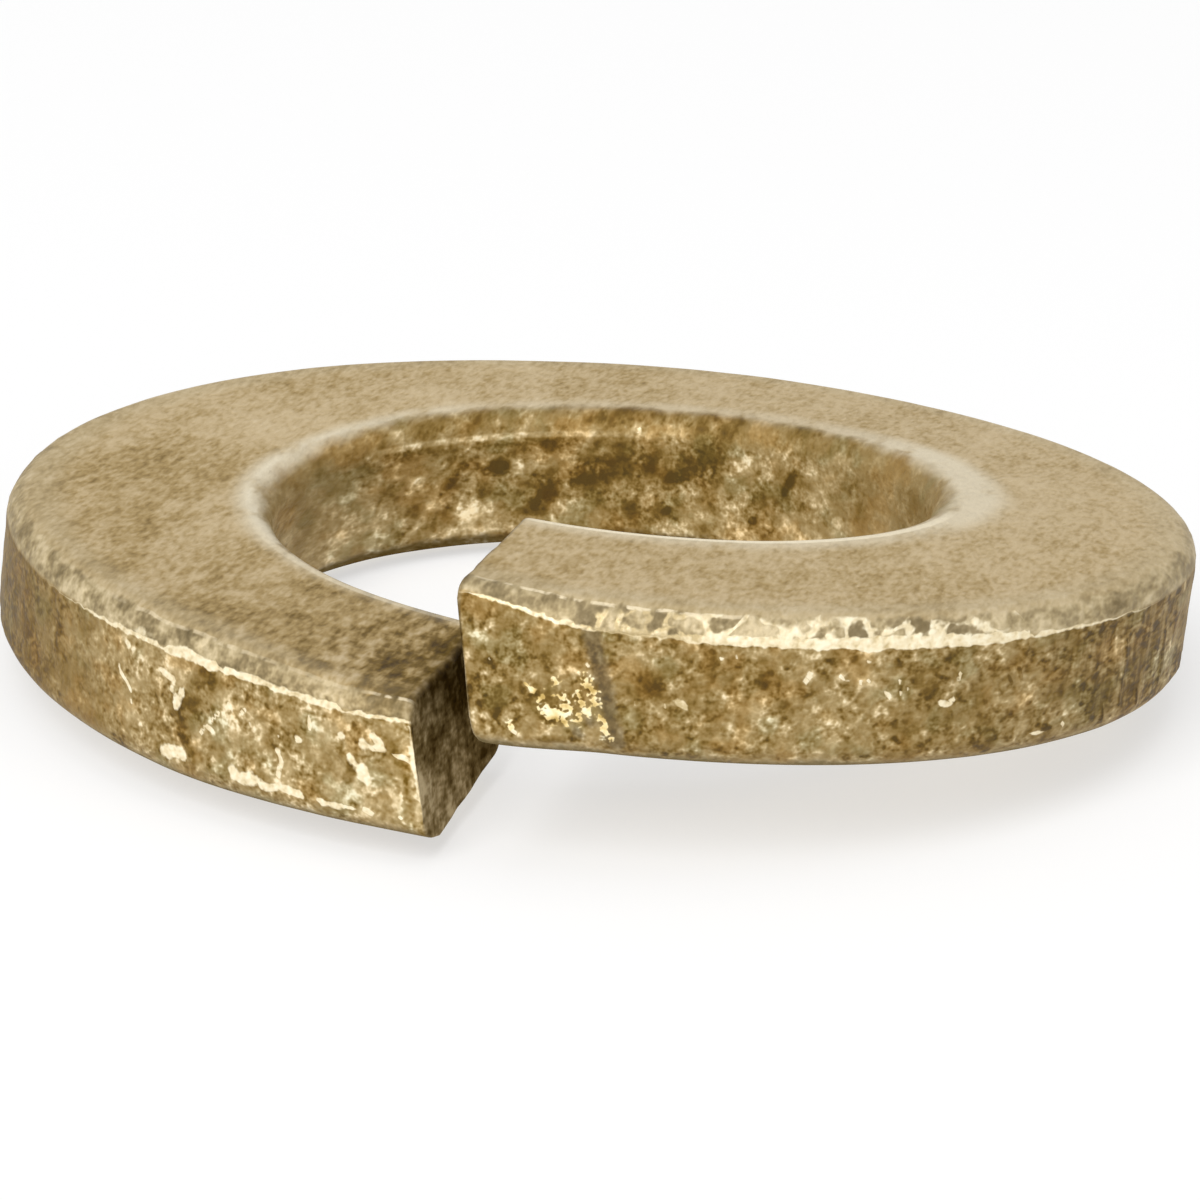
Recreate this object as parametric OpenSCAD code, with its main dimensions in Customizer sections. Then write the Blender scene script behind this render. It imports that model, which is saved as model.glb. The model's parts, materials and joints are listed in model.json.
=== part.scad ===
// Split spring lock washer: one strip of bronze wire of keystone section, coiled one turn on edge,
// cut across at a lean and left sprung open, so that one end stands above the other.
// The bore axis is Z, the lowest point lies at z = 0, and the split faces -Y.
// Seen from above, the ring climbs clockwise from its low end, which lies at the left of the split.
// Lengths are in millimetres and angles in degrees.

/* [Ring] */
// Diameter of the hole that the screw passes through
bore_d = 6.75; // [5:0.05:8]
// Width of the wire section, from the bore to the rim
section_w = 2.725; // [2:0.025:4]
// Thickness of the wire section at the rim
section_t = 1.5; // [1.1:0.02:2.2]
// How much thicker the section is at the bore than at the rim
keystone = 0.05; // [0:0.01:0.2]
// Radius of the two rounded edges along the rim
rim_round = 0.28; // [0.1:0.02:0.4]
// Radius of the two rounded edges along the bore
bore_round = 0.28; // [0.1:0.02:0.4]

/* [Spring] */
// How far the high end stands above the low end
rise = 1.15; // [0.4:0.01:1.4]
// How level the ring lies near its ends, from 0 for an even helix to 1 for level ends
end_level = 0.7; // [0:0.05:1]

/* [Split] */
// Width of the split, measured level and square to its middle plane
gap = 0.56; // [0.3:0.02:1.2]
// Lean of the two cut faces, with their tops towards the low end
cut_lean = 12; // [0:1:25]
// Radius of the top and bottom edges of the cut faces, rolled over by the shear
cut_round = 0.08; // [0.02:0.01:0.16]

/* [Shear flat] */
// Length of the flat that the shear leaves on the rim of the high end
flat_length = 1.15; // [0.8:0.05:2.2]
// Depth of that flat where it meets the cut face
flat_depth = 0.09; // [0.02:0.01:0.12]

/* [Hidden] */

// Even parts that the coil is swept in, steps of each quarter-round edge, and of each rolled-over cut edge
stations = 108;
round_steps = 5;
roll_steps = 4;
// How far the swept section runs past the bore and the rim, to be turned back to true cylinders
turning_stock = 0.3;
// Step left between an edge round and the turned wall beside it
edge_step = 0.01;
// Reach of the cutting blocks beyond the ring
clear = 1;
// Facets of the turned walls
wall_fn = 180;

bore_r = bore_d / 2;
rim_r = bore_r + section_w;
bore_t = section_t + keystone;
height = rise + bore_t;
mid_z = height / 2;

// Underside of the section at radius r: lowest at the bore, because the section thins towards the rim
function underside(r) = keystone / 2 * (r - bore_r) / section_w;

// Underside outline from the bore to the rim, with its two rounded edges
lower_edge =
    let (
        inner = [bore_r + edge_step + bore_round, underside(bore_r) + bore_round],
        outer = [rim_r - edge_step - rim_round, underside(rim_r) + rim_round]
    )
    concat(
        [[bore_r - turning_stock, inner[1]]],
        [for (i = [0:round_steps]) let (a = 90 * i / round_steps) inner - bore_round * [cos(a), sin(a)]],
        [for (i = [0:round_steps]) let (a = 90 * i / round_steps) outer + rim_round * [sin(a), -cos(a)]],
        [[rim_r + turning_stock, outer[1]]]
    );
edge_points = len(lower_edge);
// The upper outline mirrors the lower one, and the two make the closed section
section = concat(
    lower_edge,
    [for (i = [edge_points - 1:-1:0]) [lower_edge[i][0], bore_t - lower_edge[i][1]]]
);
ring_points = len(section);

// Height gained after a share s of the turn: slow near the ends and steeper at the back
function climb(s) = rise * (s - end_level * sin(360 * s) / (2 * PI));

// Sideways place of a cut face at height z, on the given side of the split's middle plane
function face_x(side, z) = side * gap / 2 + (mid_z - z) * tan(cut_lean);

// Share of the turn that a rolled-over cut edge takes up, at the middle of the section
roll_share = cut_round / (PI * (bore_r + rim_r));
// Cross-sections along the coil: each has its share of the turn and how far its two faces draw in there
low_roll = [
    for (i = [0:roll_steps])
        let (a = 90 * i / roll_steps)
        [roll_share * (1 - cos(a)), cut_round * (1 - sin(a))]
];
places = concat(
    low_roll,
    [for (k = [1:stations - 1]) [k / stations, 0]],
    [for (i = [roll_steps:-1:0]) [1 - low_roll[i][0], low_roll[i][1]]]
);
last_place = len(places) - 1;

// Section point p carried to a share s of the turn, from the low cut face to the high one,
// with the faces of the section drawn in by the given amount
function carried(p, s, draw) =
    let (
        z = bore_t / 2 + (p[1] - bore_t / 2) * (1 - 2 * draw / bore_t),
        low_turn = asin(face_x(-1, z) / p[0]),
        high_turn = asin(face_x(1, z + rise) / p[0]) - 360,
        turn = low_turn + s * (high_turn - low_turn)
    )
    [p[0] * sin(turn), -p[0] * cos(turn), z + climb(s)];

module coil() {
    points = [for (place = places) for (p = section) carried(p, place[0], place[1])];
    // Cut face at one place, laid as strips between the lower and the upper outline
    function cut_face(k, flip) = [
        for (i = [0:edge_points - 2])
            let (
                base = k * ring_points,
                quad = [i, i + 1, ring_points - 2 - i, ring_points - 1 - i]
            )
            [for (q = flip ? [3, 2, 1, 0] : [0, 1, 2, 3]) base + quad[q]]
    ];
    sides = [
        for (k = [0:last_place - 1]) for (i = [0:ring_points - 1])
            let (
                a = k * ring_points + i,
                b = k * ring_points + (i + 1) % ring_points
            )
            [a, a + ring_points, b + ring_points, b]
    ];
    polyhedron(points, concat(sides, cut_face(0, false), cut_face(last_place, true)), convexity = 6);
}

// Everything to the right of the split's middle plane
module high_side() {
    reach = rim_r + clear;
    translate([0, 0, mid_z])
        rotate([0, -cut_lean, 0])
            translate([0, -reach, -height])
                cube([reach, reach, 2 * height]);
}

// Block that takes the shear flat off the rim of the high end
module shear_block() {
    start_turn = asin(face_x(1, mid_z + rise / 2) / rim_r);
    end_turn = start_turn + flat_length / rim_r * 180 / PI;
    start = (rim_r - flat_depth) * [sin(start_turn), -cos(start_turn)];
    end = rim_r * [sin(end_turn), -cos(end_turn)];
    run = start - end;
    intersection() {
        translate([end[0], end[1], -clear])
            rotate([0, 0, atan2(run[1], run[0])])
                translate([-clear, 0, 0])
                    cube([flat_length + 3 * clear, 2 * clear, height + 2 * clear]);
        high_side();
    }
}

module lock_washer() {
    color([0.66, 0.59, 0.42])
        difference() {
            intersection() {
                coil();
                translate([0, 0, -clear]) cylinder(r = rim_r, h = height + 2 * clear, $fn = wall_fn);
            }
            translate([0, 0, -clear]) cylinder(r = bore_r, h = height + 2 * clear, $fn = wall_fn);
            shear_block();
        }
}

lock_washer();
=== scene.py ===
"""Looks of the spring lock washer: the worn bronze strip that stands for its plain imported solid.

Lengths are in millimetres and angles in degrees, until a mesh, lamp or camera is made in metres.
A point of the skin is named by its turn, in degrees along the coil from the low cut face, and by its
place on the wire section: its radius from the bore axis and its level above the section's lowest point.
Marks on the rim or the bore wall are named by their turn and by their height above the wall's middle.
"""

import itertools
import json
import logging
from dataclasses import dataclass, field, fields
from enum import Enum

import bpy
import numpy as np
from mathutils import Matrix, Vector

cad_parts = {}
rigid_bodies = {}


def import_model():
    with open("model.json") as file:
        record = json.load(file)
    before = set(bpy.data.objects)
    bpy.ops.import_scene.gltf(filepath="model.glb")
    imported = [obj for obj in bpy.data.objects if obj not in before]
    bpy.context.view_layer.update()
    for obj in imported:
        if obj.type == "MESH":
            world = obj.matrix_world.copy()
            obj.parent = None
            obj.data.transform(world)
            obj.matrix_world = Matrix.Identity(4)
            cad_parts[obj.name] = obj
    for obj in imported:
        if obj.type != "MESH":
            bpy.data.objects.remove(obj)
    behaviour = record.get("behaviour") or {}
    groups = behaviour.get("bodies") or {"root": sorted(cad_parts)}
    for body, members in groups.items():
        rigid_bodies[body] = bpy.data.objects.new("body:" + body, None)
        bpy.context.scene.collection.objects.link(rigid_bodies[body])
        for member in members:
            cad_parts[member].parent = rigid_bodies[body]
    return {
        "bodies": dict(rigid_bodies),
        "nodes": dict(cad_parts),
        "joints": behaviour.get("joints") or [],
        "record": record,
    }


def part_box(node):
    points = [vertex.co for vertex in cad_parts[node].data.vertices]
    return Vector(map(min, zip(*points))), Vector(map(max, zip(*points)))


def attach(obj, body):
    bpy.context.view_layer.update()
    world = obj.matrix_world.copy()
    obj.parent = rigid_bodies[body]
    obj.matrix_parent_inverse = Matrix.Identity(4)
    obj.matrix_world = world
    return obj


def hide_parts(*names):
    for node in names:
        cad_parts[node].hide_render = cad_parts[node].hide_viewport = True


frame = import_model()

LOG = logging.getLogger("lock_washer")
METRES = 0.001
Colour = tuple[float, float, float]
Place = tuple[float, float]
Fade = tuple[float, float]
Tone = tuple[float, Colour]
NOISE_MIDDLE = 0.5
NOT_NEAR = -3.0
LEDGE_LEVEL = 0.02
TINY = 1e-9
# Dark brown of grime; it also paints shadow along the bore's lower edge and under the high end.
DARK_GRIME_AND_SHADOW: Colour = (0.075, 0.048, 0.014)


class Grain:
    """Smooth random values through space, the same on every run."""

    cells = 32
    layer_shift = 7.3

    def __init__(self, seed: int) -> None:
        """Fills a block of random values.

        Args:
            seed: Start of the random draw.
        """
        self.values = np.random.default_rng(seed).random((self.cells,) * 3) * 2 - 1

    def at(self, points: np.ndarray, spacing: float) -> np.ndarray:
        """Values at some points.

        Args:
            points: Places in millimetres, three numbers each.
            spacing: Distance between one bump and the next.

        Returns:
            One value from -1 to 1 for each point.
        """
        scaled = points / spacing
        corner = np.floor(scaled).astype(int)
        part = scaled - corner
        part = part * part * (3 - 2 * part)
        total = np.zeros(points.shape[:-1])
        for step in itertools.product((0, 1), repeat=3):
            share = np.prod(np.where(np.array(step) == 1, part, 1 - part), axis=-1)
            cell = (corner + np.array(step)) % self.cells
            total += share * self.values[cell[..., 0], cell[..., 1], cell[..., 2]]
        return total

    def layered(self, points: np.ndarray, spacing: float, layers: int) -> np.ndarray:
        """Values with finer and fainter layers added.

        Args:
            points: Places in millimetres, three numbers each.
            spacing: Distance between the widest bumps.
            layers: How many layers, each half as wide and as strong as the last.

        Returns:
            One value for each point, mostly from -1 to 1.
        """
        return sum(
            self.at(points + self.layer_shift * k, spacing / 2**k) / 2**k for k in range(layers)
        )


def ramp(value: np.ndarray, low: float, high: float) -> np.ndarray:
    """Smooth step from 0 at low to 1 at high.

    Args:
        value: Values to step.
        low: Value that gives 0.
        high: Value that gives 1, which may lie below low.

    Returns:
        Shares from 0 to 1.
    """
    share = np.clip((value - low) / (high - low), 0, 1)
    return share * share * (3 - 2 * share)


@dataclass(frozen=True)
class WireSection:
    """Keystone section of the wire, with worn round corners that meet the walls at a faint edge."""

    inner_r: float
    outer_r: float
    thick: float
    keystone: float
    bore_round: float = 0.31
    rim_round: float = 0.31
    edge_slope: float = 12.0
    round_points: int = 9
    under_points: int = 10
    top_points: int = 22
    rim_points: int = 27
    bore_points: int = 16

    def underside(self, radius: float) -> float:
        """Level of the underside at a radius."""
        return self.keystone / 2 * (radius - self.inner_r) / (self.outer_r - self.inner_r)

    def corner(self, outer: bool) -> np.ndarray:
        """One lower corner, from the bore wall to the underside or from the underside to the rim.

        Args:
            outer: True for the corner at the rim, False for the one at the bore.

        Returns:
            Points from one end of the corner to just before the other, as radius and level.
        """
        size = self.rim_round if outer else self.bore_round
        wall = self.outer_r if outer else self.inner_r
        out = 1 if outer else -1
        reach = size * np.cos(np.radians(self.edge_slope))
        middle = (wall - out * reach, self.underside(wall) + size)
        angles = np.radians(np.linspace(self.edge_slope, 90, self.round_points + 1))
        if outer:
            angles = angles[::-1]
        arc = np.stack([middle[0] + out * size * np.cos(angles), middle[1] - size * np.sin(angles)], -1)
        return arc[:-1]

    def outline(self) -> np.ndarray:
        """Points round the section, from the foot of the bore wall by the underside, rim and top.

        Returns:
            Points as radius and level, none of them repeated.
        """
        lower = self.half(self.under_points)
        upper = self.half(self.top_points)[::-1] * [1, -1] + [0, self.thick]
        rise = np.linspace(0, 1, self.rim_points + 1)[1:-1, None]
        rim = lower[-1] + rise * (upper[0] - lower[-1])
        rise = np.linspace(0, 1, self.bore_points + 1)[1:-1, None]
        bore = upper[-1] + rise * (lower[0] - upper[-1])
        return np.concatenate([lower, rim, upper, bore])

    def half(self, face_points: int) -> np.ndarray:
        """The lower half of the section, from the foot of the bore wall to the foot of the rim.

        Args:
            face_points: How many parts the flat face is cut into.

        Returns:
            Points as radius and level.
        """
        inner, outer = self.corner(False), self.corner(True)
        inner[0, 0] = self.inner_r
        start = np.array([
            self.inner_r + self.bore_round * np.cos(np.radians(self.edge_slope)),
            self.underside(self.inner_r),
        ])
        step = np.linspace(0, 1, face_points + 1)[:-1, None]
        face = start + step * (outer[0] - start)
        return np.concatenate([inner, face, outer, [[self.outer_r, self.wall_foot(True)]]])

    def wall_foot(self, outer: bool) -> float:
        """Level at which the lower corner meets the rim, or the bore wall."""
        size = self.rim_round if outer else self.bore_round
        wall = self.outer_r if outer else self.inner_r
        return self.underside(wall) + size * (1 - np.sin(np.radians(self.edge_slope)))

    def heights(self, outline: np.ndarray) -> tuple[np.ndarray, np.ndarray]:
        """Way round the section from the middle of each wall, upwards counted as positive.

        Args:
            outline: The section's points in order.

        Returns:
            Distances from the middle of the rim, and from the middle of the bore wall.
        """
        steps = np.linalg.norm(np.roll(outline, -1, 0) - outline, axis=1)
        way = np.concatenate([[0], np.cumsum(steps)[:-1]])
        whole = steps.sum()
        rim_start = np.argmax(outline[:, 0] > self.outer_r - TINY)
        rim_middle = way[rim_start] + self.thick / 2 - self.wall_foot(True)
        half_bore = self.thick / 2 - self.wall_foot(False)
        from_bore = np.where(way > whole / 2, whole - half_bore - way, -half_bore - way)
        return way - rim_middle, from_bore


@dataclass(frozen=True)
class Coil:
    """The one-turn coil that the section is swept along, and what the shear did to its ends.

    A flat is shaved off the rim at each end, and the droop, heel, toe and dip are bends of the metal.
    Their lengths and ways run along the rim from the cut face, and across goes from 0 at the bore to 1
    at the rim.
    """

    section: WireSection
    rise: float
    end_level: float = 0.7
    gap: float = 0.56
    cut_lean: float = 12.0
    flat_top_angle: float = 12.0
    flat_foot_angle: float = 13.2
    flat_depth: float = 0.1
    flat_curve: float = 1.4
    low_flat_angle: float = 7.0
    low_flat_depth: float = 0.03
    low_side: float = 0.2
    high_side: float = -0.05
    deepest_cut: float = 0.9
    flat_overrun: float = 1.2
    droop: float = 0.055
    droop_ways: Fade = (1.3, 0.1)
    heel: float = 0.32
    heel_length: float = 1.6
    heel_width: float = 0.83
    toe: float = 0.08
    toe_length: float = 3.2
    toe_across: Fade = (0.78, 0.93)
    dip: float = 0.085
    dip_length: float = 2.2
    dip_across: Fade = (0.0, 0.6)

    @classmethod
    def from_frame(cls, packed: dict) -> "Coil":
        """Takes the ring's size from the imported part.


        Returns:
            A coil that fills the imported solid's box.
        """
        low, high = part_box("lock_washer")
        bore = next(m for m in packed["record"]["mounts"] if m["name"] == "bore")
        height = (high.z - low.z) / METRES
        rise = 1.15
        section = WireSection(
            inner_r=bore["dims"]["r_mm"],
            outer_r=(high.x - low.x) / METRES / 2,
            thick=height - rise,
            keystone=0.05,
        )
        return cls(section=section, rise=rise)

    def climb(self, share: np.ndarray) -> np.ndarray:
        """Height gained after a share of the turn."""
        return self.rise * (share - self.end_level * np.sin(2 * np.pi * share) / (2 * np.pi))

    def face_x(self, side: int, height: np.ndarray) -> np.ndarray:
        """Sideways place of a cut face.

        Args:
            side: -1 for the low end, 1 for the high end.
            height: Heights above the washer's lowest point.

        Returns:
            Sideways places, negative towards the low end.
        """
        middle = (self.rise + self.section.thick) / 2
        return side * self.gap / 2 + (middle - height) * np.tan(np.radians(self.cut_lean))

    def carry(self, radius: np.ndarray, level: np.ndarray, share: np.ndarray) -> np.ndarray:
        """Section points carried along the coil.

        Args:
            radius: Distances from the bore axis.
            level: Levels above the section's lowest point.
            share: Shares of the turn, 0 at the low cut face and 1 at the high one.

        Returns:
            Places in the part's frame, three numbers each.
        """
        low = np.arcsin(self.face_x(-1, level) / radius)
        high = np.arcsin(self.face_x(1, level + self.rise) / radius) - 2 * np.pi
        turn = low + share * (high - low)
        flats = np.minimum(self.flat_radius(turn + 2 * np.pi, level), self.low_flat_radius(turn))
        shaved = np.minimum(radius, flats)
        height = level + self.climb(share) + self.end_bend(radius, level, share)
        return np.stack([shaved * np.sin(turn), -shaved * np.cos(turn), height], -1)

    def end_bend(self, radius: np.ndarray, level: np.ndarray, share: np.ndarray) -> np.ndarray:
        """Height that the shears added at the ends.

        The lower edge of the high end droops. Under the low end the bore side is pressed up into a
        heel, and the foot of the rim is turned up a little. Its upper face dips a little there.

        Args:
            radius: Distances from the bore axis.
            level: Levels above the section's lowest point.
            share: Shares of the turn.

        Returns:
            Heights to add, negative where the metal was drawn down.
        """
        section = self.section
        way = 2 * np.pi * section.outer_r * share
        back = 2 * np.pi * section.outer_r - way
        lower = np.clip(1 - level / section.thick, 0, 1)
        across = (radius - section.inner_r) / (section.outer_r - section.inner_r)
        droop = -self.droop * lower * ramp(back, *self.droop_ways)
        heel_share = np.clip(1 - across / self.heel_width, 0, 1)
        heel = self.heel * heel_share * lower**2 * ramp(way, self.heel_length, 0.0)
        toe = self.toe * ramp(across, *self.toe_across) * lower**2 * ramp(way, self.toe_length, 0.0)
        upper = (1 - lower) ** 2 * ramp(way, self.dip_length, 0.0)
        dip = -self.dip * upper * ramp(across, *self.dip_across)
        return droop + heel + toe + dip

    def low_flat_radius(self, angle: np.ndarray) -> np.ndarray:
        """Radius that a shallow flat leaves on the rim of the low end.

        Args:
            angle: Angles round the bore axis in radians, negative along the coil from the low end.

        Returns:
            Radii, the rim's own where there is no flat.
        """
        share = np.clip(1 + angle / np.radians(self.low_flat_angle), 0, self.flat_overrun)
        share = np.where(angle < self.low_side, share, 0)
        return self.section.outer_r - self.low_flat_depth * share**self.flat_curve

    def flat_rise(self, angle: np.ndarray, on_high: np.ndarray) -> np.ndarray:
        """Way up the rim's corner to the upper edge of a flat.

        Args:
            angle: Angles round the bore axis in radians, 0 at the middle of the split.
            on_high: True for points on the high half of the coil.

        Returns:
            Distances round the corner, 0 where there is no flat.
        """
        section = self.section
        top = np.full(angle.shape, section.thick)
        flats = np.where(on_high, self.flat_radius(angle, top), self.low_flat_radius(angle))
        cut = np.clip(section.outer_r - flats, 0, self.deepest_cut * section.rim_round)
        slope = np.radians(section.edge_slope)
        return section.rim_round * (np.arccos(np.cos(slope) - cut / section.rim_round) - slope)

    def flat_radius(self, angle: np.ndarray, level: np.ndarray) -> np.ndarray:
        """Radius at which the shear flat cuts the rim of the high end.

        Args:
            angle: Angles round the bore axis in radians, 0 at the middle of the split.
            level: Levels above the section's lowest point.

        Returns:
            Radii, the rim's own where there is no flat.
        """
        drop = np.clip(1 - level / self.section.thick, 0, 1)
        crease = np.radians(self.flat_top_angle + drop * (self.flat_foot_angle - self.flat_top_angle))
        share = np.clip(1 - angle / crease, 0, self.flat_overrun)
        share = np.where(angle > self.high_side, share, 0)
        return self.section.outer_r - self.flat_depth * share**self.flat_curve


class Tint(Enum):
    """What a mark does to the skin: bare metal, a pale or brown patch, dark stain, ash, fresh gold, or a
    painted highlight on an edge.
    """

    CREAM = "cream"
    PALE = "pale"
    BROWN = "brown"
    DARK = "dark"
    ASH = "ash"
    GOLD = "gold"


class Wall(Enum):
    """Which wall of the washer a mark lies on."""

    RIM = "rim"
    BORE = "bore"


@dataclass(frozen=True)
class Mark:
    """A scrape or stain on a wall, as a stroke through places given by turn and height."""

    tint: Tint
    wall: Wall
    half_width: float
    path: tuple[Place, ...]

    def nearness(self, along: np.ndarray, height: np.ndarray, per_degree: float) -> np.ndarray:
        """How near each point is to the stroke.

        Args:
            along: Turns of the points.
            height: Their heights above the wall's middle.
            per_degree: Millimetres along the wall for one degree of turn.

        Returns:
            1 on the stroke, 0 at its edge and down to NOT_NEAR well outside it.
        """
        places = [np.array([turn * per_degree, up]) for turn, up in self.path]
        points = np.stack([along * per_degree, height], -1)
        best = np.full(along.shape, np.inf)
        for start, end in zip(places, places[1:] or places):
            run = end - start
            length = max(float(run @ run), TINY)
            share = np.clip((points - start) @ run / length, 0, 1)
            best = np.minimum(best, np.linalg.norm(points - start - share[..., None] * run, axis=-1))
        return np.clip(1 - best / self.half_width, NOT_NEAR, 1)


def spots(tint: Tint, wall: Wall, half_width: float, *places: Place) -> list[Mark]:
    """Single round marks of one kind.

    Args:
        tint: What the marks do to the skin.
        wall: The wall that they lie on.
        half_width: Their radius.
        places: Turn and height of each.

    Returns:
        One mark for each place.
    """
    return [Mark(tint, wall, half_width, (place,)) for place in places]


def stroke(tint: Tint, wall: Wall, half_width: float, *places: Place) -> list[Mark]:
    """One mark drawn through several places, in a list.

    Args:
        tint: What the mark does to the skin.
        wall: The wall that it lies on.
        half_width: Half its width.
        places: Turn and height of each place along it.

    Returns:
        A list that holds the one mark.
    """
    return [Mark(tint, wall, half_width, places)]


def low_end_marks() -> list[Mark]:
    """Marks on the rim near the low end."""
    rim = Wall.RIM
    cream, pale, brown, dark = Tint.CREAM, Tint.PALE, Tint.BROWN, Tint.DARK
    return [
        *spots(cream, rim, 0.04, (31.5, 0.4), (25.8, 0.15), (7.0, 0.24), (11.5, 0.08)),
        *spots(cream, rim, 0.022, (16.5, 0.08), (13.5, 0.04), (31.5, -0.15), (2.0, 0.17), (2.2, -0.5)),
        *stroke(cream, rim, 0.035, (27.0, 0.28), (25.5, 0.24)),
        *stroke(cream, rim, 0.045, (24.4, 0.15), (25.2, 0.02)),
        *stroke(cream, rim, 0.02, (33.0, 0.15), (32.8, 0.08), (32.0, 0.02), (31.5, -0.05)),
        *stroke(cream, rim, 0.025, (22.5, -0.18), (22.0, -0.11), (21.5, -0.09), (21.0, -0.11)),
        *stroke(cream, rim, 0.02, (20.0, 0.08), (21.0, -0.02)),
        *stroke(cream, rim, 0.02, (18.8, 0.21), (18.5, 0.15)),
        *stroke(cream, rim, 0.02, (17.5, 0.15), (17.0, 0.21)),
        *stroke(cream, rim, 0.055, (27.5, -0.5), (26.0, -0.44), (25.0, -0.47)),
        *stroke(cream, rim, 0.06, (19.0, -0.45), (18.2, -0.5), (16.5, -0.46)),
        *stroke(cream, rim, 0.04, (15.8, -0.52), (14.0, -0.47), (12.3, -0.48), (11.8, -0.5)),
        *stroke(cream, rim, 0.035, (9.8, -0.51), (8.0, -0.52)),
        *stroke(cream, rim, 0.022, (8.0, -0.52), (6.5, -0.5)),
        *stroke(cream, rim, 0.025, (5.5, -0.49), (4.8, -0.52)),
        *stroke(cream, rim, 0.028, (13.8, -0.09), (13.5, -0.21), (14.0, -0.35)),
        *spots(cream, rim, 0.06, (4.8, 0.21)),
        *stroke(cream, rim, 0.028, (4.8, 0.21), (4.0, 0.18), (3.5, 0.2)),
        *stroke(cream, rim, 0.045, (3.6, 0.31), (3.0, 0.21)),
        *stroke(cream, rim, 0.045, (6.2, 0.04), (6.0, -0.02)),
        *stroke(cream, rim, 0.07, (5.3, -0.07), (5.2, -0.14)),
        *stroke(cream, rim, 0.03, (1.6, 0.16), (1.0, 0.14)),
        *stroke(cream, rim, 0.02, (10.0, 0.35), (10.2, 0.21)),
        # Light lines down the rim's edge at the low cut: painted highlights on the rolled edge.
        *stroke(cream, rim, 0.022, (0.3, 0.5), (0.25, 0.1), (0.3, -0.3)),
        *stroke(pale, rim, 0.03, (0.5, 0.5), (0.35, 0.1), (0.4, -0.55)),
        *stroke(pale, rim, 0.12, (27.0, 0.2), (24.5, 0.3), (19.0, 0.2)),
        *stroke(pale, rim, 0.12, (19.5, -0.25), (16.0, -0.05), (14.5, -0.3)),
        *stroke(brown, rim, 0.13, (20.6, 0.4), (22.2, 0.24), (23.5, 0.11), (24.8, -0.05)),
        *stroke(brown, rim, 0.07, (21.4, 0.38), (23.0, 0.18), (24.4, 0.02)),
        *stroke(dark, rim, 0.12, (20.9, 0.4), (22.4, 0.24), (23.6, 0.1), (24.6, -0.04)),
        *stroke(brown, rim, 0.13, (25.2, -0.08), (25.2, -0.2)),
        *stroke(dark, rim, 0.05, (24.8, -0.28), (24.0, -0.38), (23.8, -0.47)),
        *stroke(dark, rim, 0.025, (24.2, 0.04), (23.5, 0.15)),
        *stroke(dark, rim, 0.03, (20.9, 0.14), (20.5, 0.06)),
        *spots(brown, rim, 0.12, (14.2, 0.11), (11.8, 0.17), (16.8, -0.21), (8.0, -0.11), (7.4, -0.02)),
        *stroke(dark, rim, 0.045, (7.3, 0.08), (6.2, -0.09), (6.8, -0.21)),
        *stroke(dark, rim, 0.03, (21.7, -0.42), (21.8, -0.52)),
        *stroke(brown, rim, 0.06, (43.5, 0.35), (44.5, -0.1)),
    ]


def high_end_marks() -> list[Mark]:
    """Marks on the flat of the high end and beside its crease."""
    rim = Wall.RIM
    cream, pale, brown, dark, gold = Tint.CREAM, Tint.PALE, Tint.BROWN, Tint.DARK, Tint.GOLD
    ash = Tint.ASH
    return [
        *stroke(gold, rim, 0.06, (353.9, -0.14), (353.2, -0.18)),
        *stroke(gold, rim, 0.055, (353.3, -0.23), (352.7, -0.38)),
        *stroke(gold, rim, 0.045, (352.3, -0.3), (351.5, -0.39)),
        *stroke(gold, rim, 0.045, (351.9, -0.27), (351.3, -0.35)),
        *stroke(gold, rim, 0.05, (350.9, -0.24), (350.1, -0.36)),
        *stroke(gold, rim, 0.045, (349.9, -0.14), (349.4, -0.24), (349.0, -0.29)),
        *stroke(gold, rim, 0.05, (349.1, 0.03), (348.6, -0.08), (348.4, -0.2)),
        *spots(gold, rim, 0.045, (351.3, -0.15), (351.9, -0.04), (348.0, -0.35), (356.2, -0.5)),
        *stroke(gold, rim, 0.045, (348.0, -0.46), (347.7, -0.52)),
        *spots(cream, rim, 0.028, (348.8, 0.17), (357.6, 0.09), (356.0, -0.55)),
        *stroke(pale, rim, 0.05, (359.0, 0.3), (356.8, 0.27)),
        # Light line down the rim's edge at the high cut: a painted highlight on the rolled edge.
        *stroke(pale, rim, 0.035, (359.6, 0.5), (359.6, 0.1), (359.4, -0.55)),
        *spots(pale, rim, 0.08, (358.2, -0.03), (354.5, 0.0), (350.5, 0.1)),
        *spots(ash, rim, 0.06, (349.1, -0.38), (350.4, -0.5)),
        *stroke(dark, rim, 0.05, (348.9, 0.42), (348.3, 0.3)),
        *stroke(ash, rim, 0.085, (348.0, 0.5), (347.7, 0.15), (347.4, -0.15), (347.1, -0.55)),
        *stroke(brown, rim, 0.05, (347.9, 0.45), (347.7, 0.1), (347.2, -0.5)),
        *spots(ash, rim, 0.08, (347.0, -0.4)),
        *spots(brown, rim, 0.07, (358.2, 0.45)),
        *stroke(dark, rim, 0.04, (353.6, -0.6), (350.9, -0.57)),
        *spots(brown, rim, 0.2, (357.3, -0.32)),
    ]


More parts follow.
